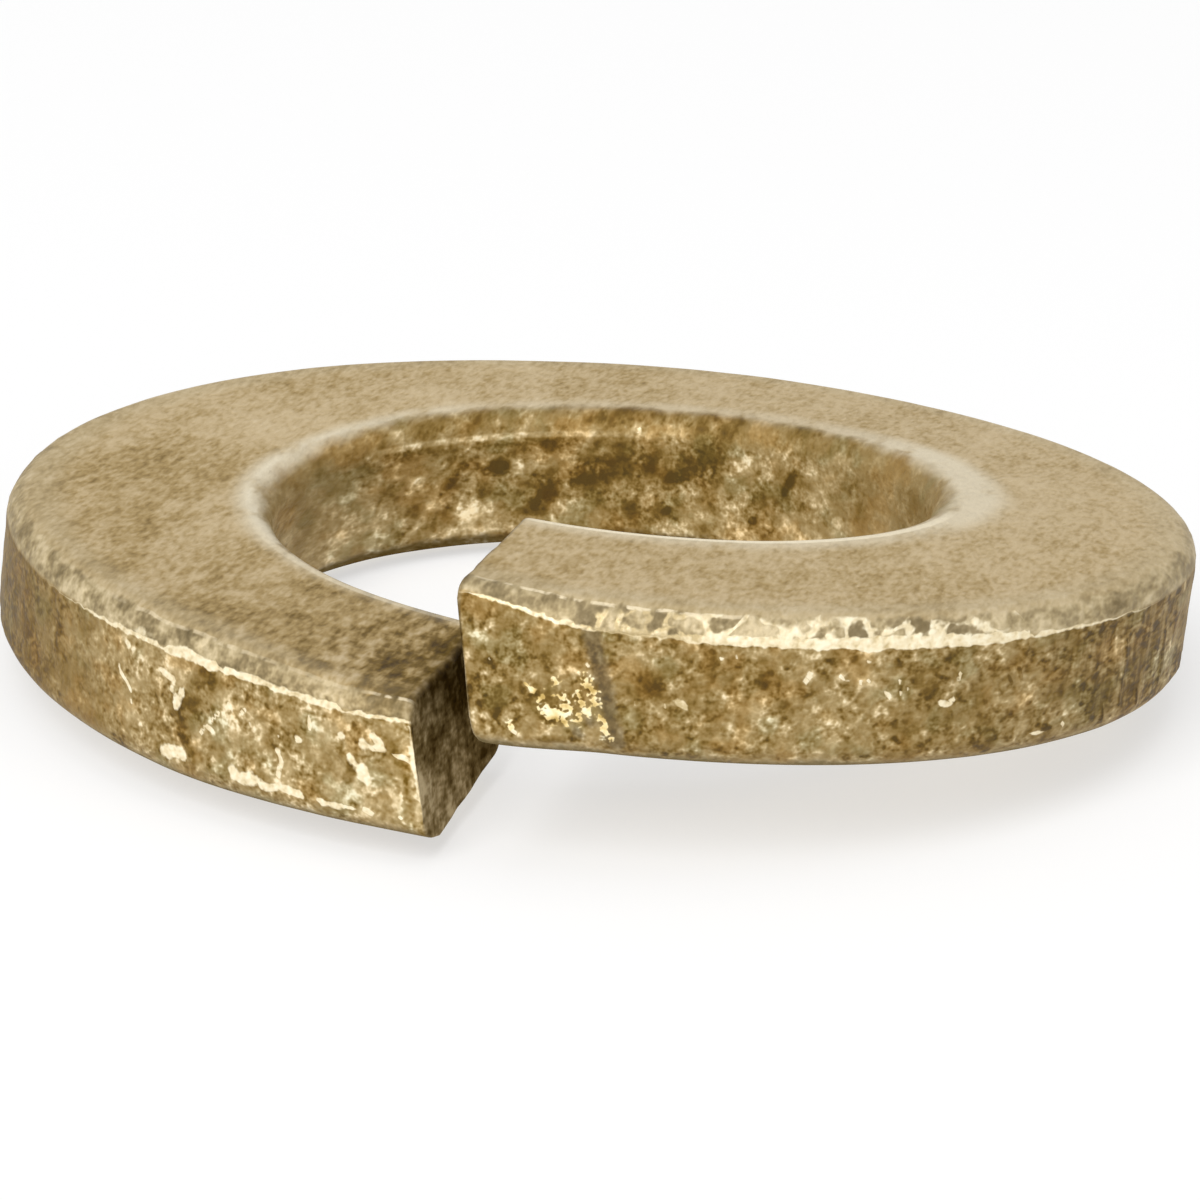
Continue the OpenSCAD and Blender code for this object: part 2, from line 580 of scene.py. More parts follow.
def right_marks() -> list[Mark]:
    """Marks on the rim to the right of the crease."""
    rim = Wall.RIM
    cream, pale, brown, dark = Tint.CREAM, Tint.PALE, Tint.BROWN, Tint.DARK
    return [
        *stroke(cream, rim, 0.035, (341.2, -0.1), (340.5, -0.15)),
        *spots(cream, rim, 0.022, (342.2, -0.15), (345.0, -0.15), (343.2, 0.15)),
        *spots(cream, rim, 0.022, (336.8, 0.35), (335.5, 0.37)),
        *stroke(cream, rim, 0.028, (328.8, 0.24), (329.3, 0.15)),
        *stroke(pale, rim, 0.07, (328.8, 0.24), (329.3, 0.1)),
        *spots(cream, rim, 0.022, (325.8, 0.21), (323.2, 0.17), (324.0, 0.15), (325.2, 0.16)),
        *spots(pale, rim, 0.08, (325.6, 0.19), (323.4, 0.16), (321.3, 0.03)),
        *stroke(cream, rim, 0.026, (321.5, 0.05), (321.2, 0.0)),
        *spots(cream, rim, 0.026, (320.0, 0.15), (320.0, 0.04), (319.2, 0.08), (323.0, 0.35)),
        *stroke(cream, rim, 0.024, (313.5, 0.22), (313.8, 0.15)),
        *stroke(cream, rim, 0.03, (315.9, -0.08), (315.0, -0.09), (314.4, -0.05)),
        *stroke(cream, rim, 0.024, (305.0, -0.51), (302.8, -0.52)),
        *spots(cream, rim, 0.032, (300.5, -0.47)),
        *stroke(pale, rim, 0.025, (336.2, -0.28), (336.1, -0.47)),
        *stroke(pale, rim, 0.03, (327.8, -0.47), (326.6, -0.45)),
        *stroke(pale, rim, 0.025, (327.2, -0.33), (326.7, -0.4)),
        *spots(pale, rim, 0.08, (320.5, -0.53), (323.0, 0.1), (334.5, -0.2), (325.0, 0.3)),
        *stroke(pale, rim, 0.035, (296.6, 0.27), (293.0, 0.22)),
        *spots(dark, rim, 0.065, (333.5, 0.11)),
        *stroke(dark, rim, 0.04, (330.4, 0.4), (331.0, 0.31)),
        *spots(dark, rim, 0.035, (332.5, 0.24), (320.2, 0.35), (337.2, -0.35)),
        *spots(dark, rim, 0.035, (322.8, -0.38), (314.8, -0.18)),
        *stroke(dark, rim, 0.03, (316.2, 0.21), (314.8, 0.15)),
        *stroke(dark, rim, 0.035, (340.0, -0.52), (338.8, -0.5), (337.8, -0.52)),
        *stroke(dark, rim, 0.035, (305.3, 0.4), (305.6, 0.31)),
        *stroke(dark, rim, 0.025, (307.8, 0.13), (307.5, 0.05)),
        *stroke(dark, rim, 0.025, (306.5, 0.2), (306.2, 0.08)),
        *spots(dark, rim, 0.04, (320.8, -0.42), (312.4, -0.5), (310.8, -0.11)),
        *stroke(dark, rim, 0.025, (304.2, -0.43), (302.3, -0.47)),
        *stroke(brown, rim, 0.1, (332.3, -0.05), (331.2, -0.17)),
        *spots(brown, rim, 0.13, (337.5, 0.28), (343.0, 0.03), (339.0, -0.1), (317.0, 0.03), (333.0, 0.18)),
        *stroke(brown, rim, 0.06, (339.0, -0.4), (337.9, -0.18)),
        *stroke(dark, rim, 0.032, (289.8, 0.22), (289.8, 0.02)),
        *stroke(dark, rim, 0.028, (290.2, -0.1), (290.8, -0.31), (291.0, -0.43)),
        *stroke(dark, rim, 0.022, (294.2, -0.33), (294.0, -0.55)),
        *stroke(dark, rim, 0.03, (287.0, -0.36), (287.0, -0.52)),
        *stroke(dark, rim, 0.035, (280.0, 0.3), (280.0, 0.02), (280.0, -0.28), (281.0, -0.42)),
        *stroke(pale, rim, 0.03, (288.2, 0.25), (288.5, 0.04)),
        *stroke(pale, rim, 0.03, (289.4, -0.15), (289.4, -0.43)),
        *stroke(pale, rim, 0.03, (277.6, -0.02), (277.8, -0.22)),
        *spots(dark, rim, 0.05, (286.5, 0.4)),
    ]


def bore_marks() -> list[Mark]:
    """Marks on the bore wall that shows over the low end."""
    bore = Wall.BORE
    cream, pale, brown, dark = Tint.CREAM, Tint.PALE, Tint.BROWN, Tint.DARK
    return [
        *stroke(brown, bore, 0.13, (127.0, 0.72), (133.0, 0.72), (140.0, 0.7)),
        *spots(brown, bore, 0.1, (118.8, 0.66), (109.5, 0.6), (118.0, 0.43), (125.5, 0.01), (181.0, 0.7)),
        *spots(brown, bore, 0.22, (98.8, 0.0), (129.8, -0.31), (222.0, 0.0), (238.2, 0.28), (164.0, 0.12)),
        *stroke(brown, bore, 0.2, (138.2, 0.28), (137.6, 0.12), (136.0, 0.0)),
        *stroke(brown, bore, 0.18, (144.5, 0.19), (148.0, 0.18)),
        *stroke(brown, bore, 0.16, (157.4, -0.03), (155.4, -0.26)),
        *stroke(brown, bore, 0.17, (165.5, 0.14), (170.0, 0.2), (174.5, 0.24)),
        *stroke(brown, bore, 0.24, (179.5, 0.1), (184.5, 0.16)),
        *stroke(brown, bore, 0.2, (204.0, 0.34), (203.4, 0.05)),
        *stroke(dark, bore, 0.07, (138.0, 0.2), (137.0, 0.06)),
        *stroke(dark, bore, 0.07, (144.8, 0.2), (147.0, 0.18)),
        *stroke(dark, bore, 0.05, (157.0, -0.1), (155.6, -0.26)),
        *stroke(dark, bore, 0.08, (180.0, 0.1), (184.0, 0.14)),
        *stroke(dark, bore, 0.06, (203.9, 0.28), (203.4, 0.08)),
        *spots(brown, bore, 0.15, (136.2, -0.31), (144.2, -0.07), (180.8, -0.31), (218.5, 0.31)),
        *spots(brown, bore, 0.15, (198.3, -0.31), (203.0, -0.4), (100.0, 0.66), (199.8, 0.0), (161.8, 0.12)),
        *spots(dark, bore, 0.05, (180.8, -0.31), (198.3, -0.31), (203.0, -0.4), (218.5, 0.31)),
        *stroke(brown, bore, 0.06, (118.0, 0.48), (132.0, 0.47), (150.0, 0.44), (160.0, 0.46)),
        *spots(cream, bore, 0.035, (170.5, 0.6)),
        *spots(pale, bore, 0.08, (170.5, 0.6), (172.5, 0.55), (150.2, 0.7), (104.5, 0.76)),
        *stroke(pale, bore, 0.06, (190.7, 0.12), (190.2, -0.05)),
        *spots(pale, bore, 0.11, (140.8, 0.63), (161.2, 0.56), (193.8, 0.31), (170.3, -0.07), (212.8, 0.52)),
        *spots(pale, bore, 0.16, (143.5, -0.31), (152.0, 0.25), (187.0, -0.35)),
        *stroke(pale, bore, 0.05, (134.0, -0.17), (132.8, -0.38), (131.2, -0.49)),
        *stroke(pale, bore, 0.05, (204.5, -0.22), (207.3, -0.33)),
        *spots(pale, bore, 0.06, (195.3, -0.12), (217.3, -0.14), (217.5, -0.26)),
        *stroke(pale, bore, 0.035, (139.0, -0.56), (146.0, -0.54), (151.0, -0.54)),
    ]


@dataclass
class Skin:
    """Every point of the washer's skin, with its place on the coil and its wear."""

    points: np.ndarray
    turn: np.ndarray
    radius: np.ndarray
    level: np.ndarray
    rim_height: np.ndarray
    bore_height: np.ndarray
    on_cut: np.ndarray
    wear: dict[str, np.ndarray] = field(default_factory=dict)


@dataclass(frozen=True)
class Profile:
    """A value that changes along the coil, set at some turns and even between them."""

    places: tuple[Place, ...]

    def at(self, turn: np.ndarray) -> np.ndarray:
        """The value at each turn."""
        return np.interp(turn, *zip(*self.places))


@dataclass(frozen=True)
class Stretch:
    """A stretch of the coil, in degrees of turn, that starts and ends softly."""

    start: float
    full: float
    waning: float
    end: float

    def at(self, turn: np.ndarray) -> np.ndarray:
        """Share from 0 to 1 at each turn."""
        return ramp(turn, self.start, self.full) * ramp(turn, self.end, self.waning)


@dataclass
class Wear:
    """Where the washer is scraped, stained and filmed over.

    The lip is half the width of the bare line along the rim's upper edge, and none where it is negative.
    The lace reaches as far above that edge, bore_top as far above the bore wall as the wall's mottle
    does, and inner_reach as far as the pale lip beyond it, a haze with a painted highlight. The rim's
    tone profile is partly painted shade: it darkens the rim towards its far left and far right ends,
    where they turn away from the lamps, and lightens its front left a little. The shades are lighter
    above 0 and darker below. The others are shares or strengths.
    """

    coil: Coil
    marks: list[Mark]
    lip: Profile = Profile((
        (0, 0.01), (3, 0.02), (5, 0.025), (6.4, 0.0), (7, 0.03), (9.8, 0.035), (12, 0.022), (16, 0.03),
        (19, 0.035), (19.5, 0.0), (20.2, 0.045), (23, 0.05), (25.8, 0.04), (26.8, 0.0), (28, 0.03),
        (29.2, 0.012), (30.5, 0.025), (36, 0.014), (40, 0.0), (46, -0.006), (60, -0.02), (272, -0.02),
        (283, -0.006), (292, 0.004), (301, 0.016), (303, 0.028), (304.4, 0.0), (305.4, 0.045),
        (320, 0.062), (331, 0.045), (335, 0.05), (338.5, 0.035), (341, 0.012), (346.5, 0.0), (348.5, 0.008),
        (350.4, 0.022), (352, 0.012), (353.5, 0.02), (356.3, 0.006), (357.8, 0.016), (359, 0.0), (360, 0.0),
    ))
    lace: Profile = Profile((
        (17, 0.0), (19, 0.06), (21, 0.1), (25, 0.1), (27, 0.05), (30, 0.1), (33, 0.0), (300, 0.0),
        (304.8, 0.05), (305.2, 0.3), (307, 0.32), (309, 0.22), (310.5, 0.3), (312.5, 0.2), (315, 0.22),
        (316.5, 0.34), (320, 0.26), (322.2, 0.32), (326.5, 0.36), (329, 0.26), (331, 0.22), (332.5, 0.3),
        (335.2, 0.34), (338, 0.3), (341, 0.26), (343, 0.28), (347, 0.2), (349, 0.0),
    ))
    ridge: Profile = Profile((
        (0, 0.9), (3.2, 0.9), (4.5, 0.3), (16, 0.3), (18.5, 0.5), (31, 0.5), (36, 0.2), (60, 0.0),
        (330, 0.0), (338.8, 1.0), (345, 1.0), (348.2, 0.8), (353, 1.0), (355, 0.8), (357, 0.4), (360, 0.6),
    ))
    chain: Profile = Profile((
        (0, 0.4), (3, 0.5), (8, 0.75), (12, 0.7), (24, 1.0), (31, 0.8), (38, 0.9), (50, 0.7), (90, 0.25),
        (130, 0.0), (240, 0.0), (270, 0.5), (300, 0.75), (306, 0.75), (340, 0.8), (352, 0.8),
        (357, 0.9), (360, 0.6),
    ))
    bore_top: Profile = Profile((
        (0, 0.2), (60, 0.22), (90, 0.28), (115, 0.36), (130, 0.43), (185, 0.46), (210, 0.4), (240, 0.32),
        (280, 0.3), (360, 0.3),
    ))
    # Pale lip at the bore: a haze with a painted highlight where the rounding starts.
    inner_lip: Profile = Profile((
        (0, 0.3), (20, 0.4), (50, 1.1), (70, 1.5), (108, 1.5), (148, 0.4), (200, 0.4), (225, 1.0), (270, 0.9),
        (300, 0.7), (360, 0.6),
    ))
    # Strength of the painted highlight along the bore's upper edge, strongest along the high end.
    inner_line: Profile = Profile((
        (0, 0.2), (20, 0.5), (40, 0.3), (60, 0.0), (270, 0.0), (285, 0.8), (350, 1.0), (358, 0.7), (360, 0.0),
    ))
    inner_reach: Profile = Profile((
        (0, 0.5), (60, 0.48), (110, 0.5), (135, 0.68), (180, 0.78), (225, 0.88), (260, 0.85), (290, 0.65),
        (360, 0.6),
    ))
    fleck: Profile = Profile((
        (0, 0.6), (5, 0.45), (14, 0.5), (28, 0.5), (36, 0.0), (90, -0.2), (295, -0.2), (312, 0.4),
        (330, 0.35), (345, 0.2), (353, 0.3), (360, 0.6),
    ))
    # Painted shade on the rim: darker towards its far left and far right ends, where they turn away from the
    # lamps, and a little lighter at the front left; the rest is tone set turn by turn.
    shade: Profile = Profile((
        (0, 0.0), (5, 0.05), (30, 0.04), (38, -0.06), (46, -0.125), (55, -0.24), (75, -0.22), (100, -0.12),
        (260, -0.1), (285, -0.115), (302, -0.13), (320, -0.05), (340, -0.01), (347, -0.015), (350, -0.045),
        (360, -0.045),
    ))
    face_shade: Profile = Profile((
        (0, -0.23), (7, -0.24), (19, -0.22), (28, -0.16), (36, -0.11), (50, -0.08), (66, -0.065), (80, -0.13),
        (92, -0.09), (104, -0.03), (115, -0.01), (150, -0.035), (190, -0.03), (240, -0.02), (280, -0.015),
        (300, -0.05), (340, -0.065), (360, -0.065),
    ))
    bore_shade: Profile = Profile((
        (0, 0.0), (95, -0.03), (110, -0.01), (125, 0.02), (150, 0.01), (158, -0.03), (166, -0.06),
        (174, -0.07), (182, -0.05), (191, 0.0), (200, 0.01), (360, 0.0),
    ))
    bore_contrast: Profile = Profile((
        (0, 0.45), (100, 0.45), (122, 1.0), (200, 1.0), (225, 0.5), (360, 0.45),
    ))
    contrast: Profile = Profile((
        (0, 1.05), (30, 1.05), (38, 0.65), (100, 0.65), (260, 0.8), (285, 1.2), (300, 1.0), (345, 1.0),
        (352, 1.05), (360, 1.05),
    ))

    ledge: Stretch = Stretch(112, 122, 160, 175)
    far_round: Stretch = Stretch(125, 145, 195, 215)
    far_round_levels: Fade = (-0.02, 0.08)
    far_round_shade: float = -0.045
    dim: Stretch = Stretch(336, 341, 347.5, 349)
    strong_drag: Stretch = Stretch(255, 270, 296, 308)
    faint_drag: float = 0.15
    stain_turns: Fade = (22, 4)
    faint_stain: float = 0.2
    faint_stain_turns: Fade = (60, 24)
    # Painted shadow of the high end over the low end's faces.
    dusk_turns: Fade = (4.5, 0.3)
    round_contrast: float = 0.95
    wall_contrast: float = 1.3
    contrast_levels: Fade = (0.05, -0.05)
    farthest: float = 2.0

    def wall_half(self, outer: bool) -> float:
        """Half the height of the rim, or of the bore wall, between its corners."""
        return self.coil.section.thick / 2 - self.coil.section.wall_foot(outer)

    def fill(self, skin: Skin) -> None:
        """Works out every field of wear.

        Args:
            skin: The skin, whose wear is filled in.
        """
        section = self.coil.section
        outer_side = skin.radius > (section.inner_r + section.outer_r) / 2
        angle = np.arctan2(skin.points[:, 0], -skin.points[:, 1])
        rise = self.coil.flat_rise(angle, skin.turn > 180)
        above_bore = skin.bore_height - self.wall_half(False)
        distances = {
            "above_rim": skin.rim_height - self.wall_half(True) - rise,
            "below_rim": -skin.rim_height - self.wall_half(True),
            "above_bore": above_bore,
            "below_bore": -skin.bore_height - self.wall_half(False),
        }
        for name, distance in distances.items():
            skin.wear[name] = np.clip(distance, -self.farthest, self.farthest)
        even_profiles = (
            "lip", "lace", "ridge", "chain", "bore_top", "inner_lip", "inner_line", "inner_reach", "fleck",
            "face_shade", "dim",
        )
        for name in even_profiles:
            skin.wear[name] = getattr(self, name).at(skin.turn)
        far_round = self.far_round.at(skin.turn) * ramp(above_bore, *self.far_round_levels)
        bore_shade = self.bore_shade.at(skin.turn) + self.far_round_shade * far_round
        on_wall = ramp(above_bore, *self.contrast_levels)
        gain = self.round_contrast + (self.wall_contrast - self.round_contrast) * on_wall
        bore_contrast = self.bore_contrast.at(skin.turn) * gain
        faint_stain = self.faint_stain * ramp(skin.turn, *self.faint_stain_turns)
        skin.wear |= {
            "outer": outer_side.astype(float),
            "on_cut": skin.on_cut,
            "cut_level": skin.level / section.thick,
            "cut_across": (skin.radius - section.inner_r) / (section.outer_r - section.inner_r),
            "ledge": np.where(outer_side, 0, self.ledge.at(skin.turn)),
            "drag": self.drag(skin, outer_side),
            "stain": np.maximum(ramp(skin.turn, *self.stain_turns), faint_stain),
            # The high end's painted shadow over the low end, kept off the cut faces.
            "high_end_shadow": ramp(skin.turn, *self.dusk_turns) * (1 - skin.on_cut),
            # Painted shade and tone on the rim, tone alone on the bore wall.
            "shade": np.where(outer_side, self.shade.at(skin.turn), bore_shade),
            "contrast": np.where(outer_side, self.contrast.at(skin.turn), bore_contrast),
        }
        for tint in Tint:
            skin.wear[tint.value] = self.marked(skin, tint, outer_side)

    def drag(self, skin: Skin, outer_side: np.ndarray) -> np.ndarray:
        """Share of upright drag marks on the rim, strongest at the right and faint elsewhere."""
        share = self.faint_drag + (1 - self.faint_drag) * self.strong_drag.at(skin.turn)
        return np.where(outer_side, share, 0) * (1 - skin.on_cut)

    def marked(self, skin: Skin, tint: Tint, outer_side: np.ndarray) -> np.ndarray:
        """Nearness to the nearest mark of one tint.

        Args:
            skin: The skin.
            tint: The tint to look for.
            outer_side: True for points nearer the rim than the bore.

        Returns:
            1 on a mark, 0 at its edge and NOT_NEAR away from all.
        """
        section = self.coil.section
        nearest = np.full(skin.turn.shape, NOT_NEAR)
        for mark in self.marks:
            if mark.tint is not tint:
                continue
            on_rim = mark.wall is Wall.RIM
            height = skin.rim_height if on_rim else skin.bore_height
            reach = section.outer_r if on_rim else section.inner_r
            near = mark.nearness(skin.turn, height, np.pi / 180 * reach)
            nearest = np.maximum(nearest, np.where(outer_side == on_rim, near, NOT_NEAR))
        return np.where(skin.on_cut > 0.5, NOT_NEAR, nearest)


@dataclass(frozen=True)
class Bumps:
    """One kind of unevenness: its random draw, how far it stands out, and the spacing of its bumps."""

    seed: int
    height: float
    spacing: float
    layers: int
    stretch: Colour = (1.0, 1.0, 1.0)

    def at(self, points: np.ndarray) -> np.ndarray:
        """How far the skin stands out at each point."""
        return self.height * Grain(self.seed).layered(points * self.stretch, self.spacing, self.layers)


@dataclass(frozen=True)
class Relief:
    """How the worn skin stands out from the plain shape."""

    wave: Bumps = Bumps(seed=1, height=0.009, spacing=2.6, layers=2)
    pits: Bumps = Bumps(seed=2, height=0.01, spacing=0.36, layers=3)
    face_grain: Bumps = Bumps(seed=3, height=0.002, spacing=0.5, layers=2)
    drags: Bumps = Bumps(seed=4, height=0.008, spacing=0.2, layers=2, stretch=(1.0, 1.0, 0.12))
    tears: Bumps = Bumps(seed=5, height=0.014, spacing=0.35, layers=3, stretch=(1.0, 1.0, 0.3))
    chips: Bumps = Bumps(seed=6, height=1.0, spacing=0.24, layers=2)
    chip_depth: float = 0.016
    chip_fade: Fade = (0.05, 0.4)
    chip_start: Fade = (0.02, 0.08)
    chip_end: Fade = (0.26, 0.18)
    hollows: tuple[tuple[Tint, float, Fade], ...] = (
        (Tint.DARK, 0.012, (-0.2, 0.6)), (Tint.BROWN, 0.005, (-0.2, 0.8)),
        (Tint.CREAM, 0.004, (-0.1, 0.5)), (Tint.GOLD, 0.006, (-0.2, 0.5)),
    )
    rim_top: Fade = (0.05, -0.02)
    rim_foot: Fade = (0.15, 0.0)
    bore_edge: Fade = (0.2, 0.0)
    ledge_height: float = 0.014
    ledge_half_width: float = 0.05

    def at(self, skin: Skin) -> np.ndarray:
        """How far each point stands out.

        Args:
            skin: The skin, with its wear filled in.

        Returns:
            One distance for each point, negative for a hollow.
        """
        wear, points = skin.wear, skin.points
        bare = 1 - wear["on_cut"]
        outer = wear["outer"] * bare
        on_rim = ramp(wear["above_rim"], *self.rim_top) * ramp(wear["below_rim"], *self.rim_foot) * outer
        on_bore = ramp(wear["above_bore"], *self.bore_edge) * ramp(wear["below_bore"], *self.bore_edge)
        wall = np.maximum(on_rim, on_bore * (1 - wear["outer"]) * bare)
        uneven = (
            self.wave.at(points) + wall * self.pits.at(points) + (1 - wall) * self.face_grain.at(points)
            + wear["drag"] * on_rim * self.drags.at(points) + wear["on_cut"] * self.tears.at(points)
        )
        sunk = sum(depth * ramp(wear[tint.value], *fade) for tint, depth, fade in self.hollows)
        corner = ramp(wear["above_rim"], *self.chip_start) * ramp(wear["above_rim"], *self.chip_end) * outer
        chipped = self.chip_depth * corner * wear["chain"] * ramp(self.chips.at(points), *self.chip_fade)
        off_ledge = np.abs(wear["above_bore"] - LEDGE_LEVEL)
        raised = self.ledge_height * wear["ledge"] * ramp(off_ledge, self.ledge_half_width, 0.0)
        return uneven - sunk - chipped + raised


@dataclass
class LockWasher:
    """The washer: a swept strip with rolled cut edges, its worn relief and its finish."""

    coil: Coil
    wear: Wear
    relief: Relief = Relief()
    stations: int = 760
    trial_stations: int = 2000
    cap_rings: int = 14
    same_digits: int = 5
    roll_steps: int = 4
    top_roll: float = 0.07
    side_roll: float = 0.018
    low_tip_roll: float = 0.035
    roll_upness: Fade = (0.6, 0.95)
    tip_levels: Fade = (0.5, 0.0)
    end_density: float = 0.45
    low_end_shares: Fade = (0.24, 0.12)
    high_end_shares: Fade = (0.74, 0.86)

    def build(self) -> bpy.types.Object:
        """Makes the washer's mesh, with its wear as named values at each point.

        Returns:
            The new object.
        """
        skin, grid = self.sweep()
        faces, kept = self.stitch(skin.points, grid)
        self.wear.fill(skin)
        normals = self.normals(skin.points, faces)
        skin.points = skin.points + normals * self.relief.at(skin)[:, None]
        mesh = bpy.data.meshes.new("bronze_washer")
        renumber = np.cumsum(kept) - 1
        mesh.from_pydata(
            (skin.points[kept] * METRES).tolist(), [], [[int(renumber[i]) for i in face] for face in faces]
        )
        mesh.polygons.foreach_set("use_smooth", [True] * len(mesh.polygons))
        for name, values in skin.wear.items():
            layer = mesh.attributes.new(name, "FLOAT", "POINT")
            layer.data.foreach_set("value", values[kept].astype(np.float32))
        mesh.validate()
        mesh.update()
        washer = bpy.data.objects.new("bronze_washer", mesh)
        bpy.context.scene.collection.objects.link(washer)
        return washer

    def rolls(self, outline: np.ndarray, low_end: bool) -> np.ndarray:
        """Radius of the rolled-over edge of a cut face, at each point round it.

        Args:
            outline: The section's points.
            low_end: True for the low cut face.

        Returns:
            One radius for each point.
        """
        section = self.coil.section
        upness = np.abs(outline[:, 1] / section.thick - 0.5) * 2
        face = ramp(upness, *self.roll_upness)
        size = self.side_roll + face * (self.top_roll - self.side_roll)
        if low_end:
            tip = ramp(outline[:, 1], *self.tip_levels)
            size = size + tip * (self.low_tip_roll - size)
        return size

    def sweep(self) -> tuple[Skin, tuple[int, int]]:
        """Lays the section along the coil and closes both cut faces with rings.

        Returns:
            The skin before its relief, and the number of rows and of points in each.
        """
        section = self.coil.section
        outline = section.outline()
        rim_height, bore_height = section.heights(outline)
        half = section.thick / 2
        core = np.stack([
            np.clip(outline[:, 0], section.inner_r + half, section.outer_r - half),
            np.full(len(outline), half),
        ], -1)
        depth = np.linalg.norm(core - outline, axis=1)
        inward = (core - outline) / depth[:, None]
        per_turn = 2 * np.pi * outline[:, 0]
        insets, shares, cuts = [], [], []
        low_roll, high_roll = self.rolls(outline, True), self.rolls(outline, False)
        angles = np.radians(np.linspace(0, 90, self.roll_steps + 1))
        for ring in np.linspace(1, 0, self.cap_rings + 1)[:-1]:
            insets.append(low_roll + (depth - low_roll) * ring)
            shares.append(np.zeros(len(outline)))
            cuts.append(1.0)
        for angle in angles:
            insets.append(low_roll * (1 - np.sin(angle)))
            shares.append(low_roll * (1 - np.cos(angle)) / per_turn)
            cuts.append(float(np.cos(angle)))
        first, last = shares[-1], 1 - high_roll / per_turn
        for step in self.spread()[1:-1]:
            insets.append(np.zeros(len(outline)))
            shares.append(first + step * (last - first))
            cuts.append(0.0)
        for angle in angles[::-1]:
            insets.append(high_roll * (1 - np.sin(angle)))
            shares.append(1 - high_roll * (1 - np.cos(angle)) / per_turn)
            cuts.append(float(np.cos(angle)))
        for ring in np.linspace(0, 1, self.cap_rings + 1)[1:]:
            insets.append(high_roll + (depth - high_roll) * ring)
            shares.append(np.ones(len(outline)))
            cuts.append(1.0)
        inset, share = np.array(insets), np.array(shares)
        place = outline + inward * inset[..., None]
        points = self.coil.carry(place[..., 0], place[..., 1], share)
        rows = points.shape[:2]
        skin = Skin(
            points=points.reshape(-1, 3),
            turn=(share * 360).ravel(),
            radius=place[..., 0].ravel(),
            level=place[..., 1].ravel(),
            rim_height=np.broadcast_to(rim_height, rows).ravel(),
            bore_height=np.broadcast_to(bore_height, rows).ravel(),
            on_cut=np.broadcast_to(np.array(cuts)[:, None], rows).ravel(),
        )
        return skin, rows

    def spread(self) -> np.ndarray:
        """Shares of the turn at which the section is laid, closer together near the split."""
        fine = np.linspace(0, 1, self.trial_stations + 1)
        near_ends = ramp(fine, *self.low_end_shares) + ramp(fine, *self.high_end_shares)
        density = 1 + self.end_density * near_ends
        way = np.concatenate([[0], np.cumsum((density[1:] + density[:-1]) / 2)])
        return np.interp(np.linspace(0, way[-1], self.stations + 1), way, fine)

    def stitch(self, points: np.ndarray, grid: tuple[int, int]) -> tuple[list[list[int]], np.ndarray]:
        """Joins the grid into faces, closing the middle of each cut face.

        Args:
            points: The skin's points, row after row.
            grid: Number of rows, and of points in each.

        Returns:
            The faces as lists of point numbers, and which points they use.
        """
        rows, width = grid
        number = np.arange(rows * width)
        for row in (0, rows - 1):
            here = np.arange(row * width, (row + 1) * width)
            _, first, group = np.unique(
                np.round(points[here], self.same_digits), axis=0, return_index=True, return_inverse=True
            )
            number[here] = here[first[group.ravel()]]
        number = number.reshape(rows, width)
        after = np.roll(number, -1, axis=1)
        quads = np.stack([number[:-1], number[1:], after[1:], after[:-1]], -1).reshape(-1, 4)
        faces = []
        for quad in quads.tolist():
            corners = list(dict.fromkeys(quad))
            if len(corners) > 2:
                faces.append(corners)
        kept = np.zeros(rows * width, bool)
        kept[np.unique(number)] = True
        return faces, kept

    def normals(self, points: np.ndarray, faces: list[list[int]]) -> np.ndarray:
        """Outward directions at the points, from the faces round each.

        Args:
            points: The skin's points.
            faces: Faces as lists of three or four point numbers.

        Returns:
            One direction of length 1 for each point that a face uses, and 0 for the others.
        """
        corners = np.array([face if len(face) == 4 else [*face, face[0]] for face in faces])
        one = points[corners[:, 2]] - points[corners[:, 0]]
        two = points[corners[:, 3]] - points[corners[:, 1]]
        facing = np.cross(one, two)
        total = np.zeros_like(points)
        for column in range(4):
            np.add.at(total, corners[:, column], facing)
        length = np.linalg.norm(total, axis=1, keepdims=True)
        return total / np.maximum(length, TINY)

    def dress(self, washer: bpy.types.Object, finish: "BronzeFinish") -> None:
        """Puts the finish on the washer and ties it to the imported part.

        Args:
            washer: The washer.
            finish: Its finish.
        """
        washer.data.materials.append(finish.material())
        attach(washer, "root")
        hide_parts("lock_washer")


@dataclass(frozen=True)
class NoiseKind:
    """One pattern of cloudy values through the object.

    The spacing is the size of the widest clouds, detail is how many finer layers are added, roughness
    is how strong those are, shift tells one pattern from another, and stretch scales each axis first.
    """

    spacing: float
    detail: float
    roughness: float
    shift: float = 0.0
    stretch: Colour = (1.0, 0.36, 1.0)


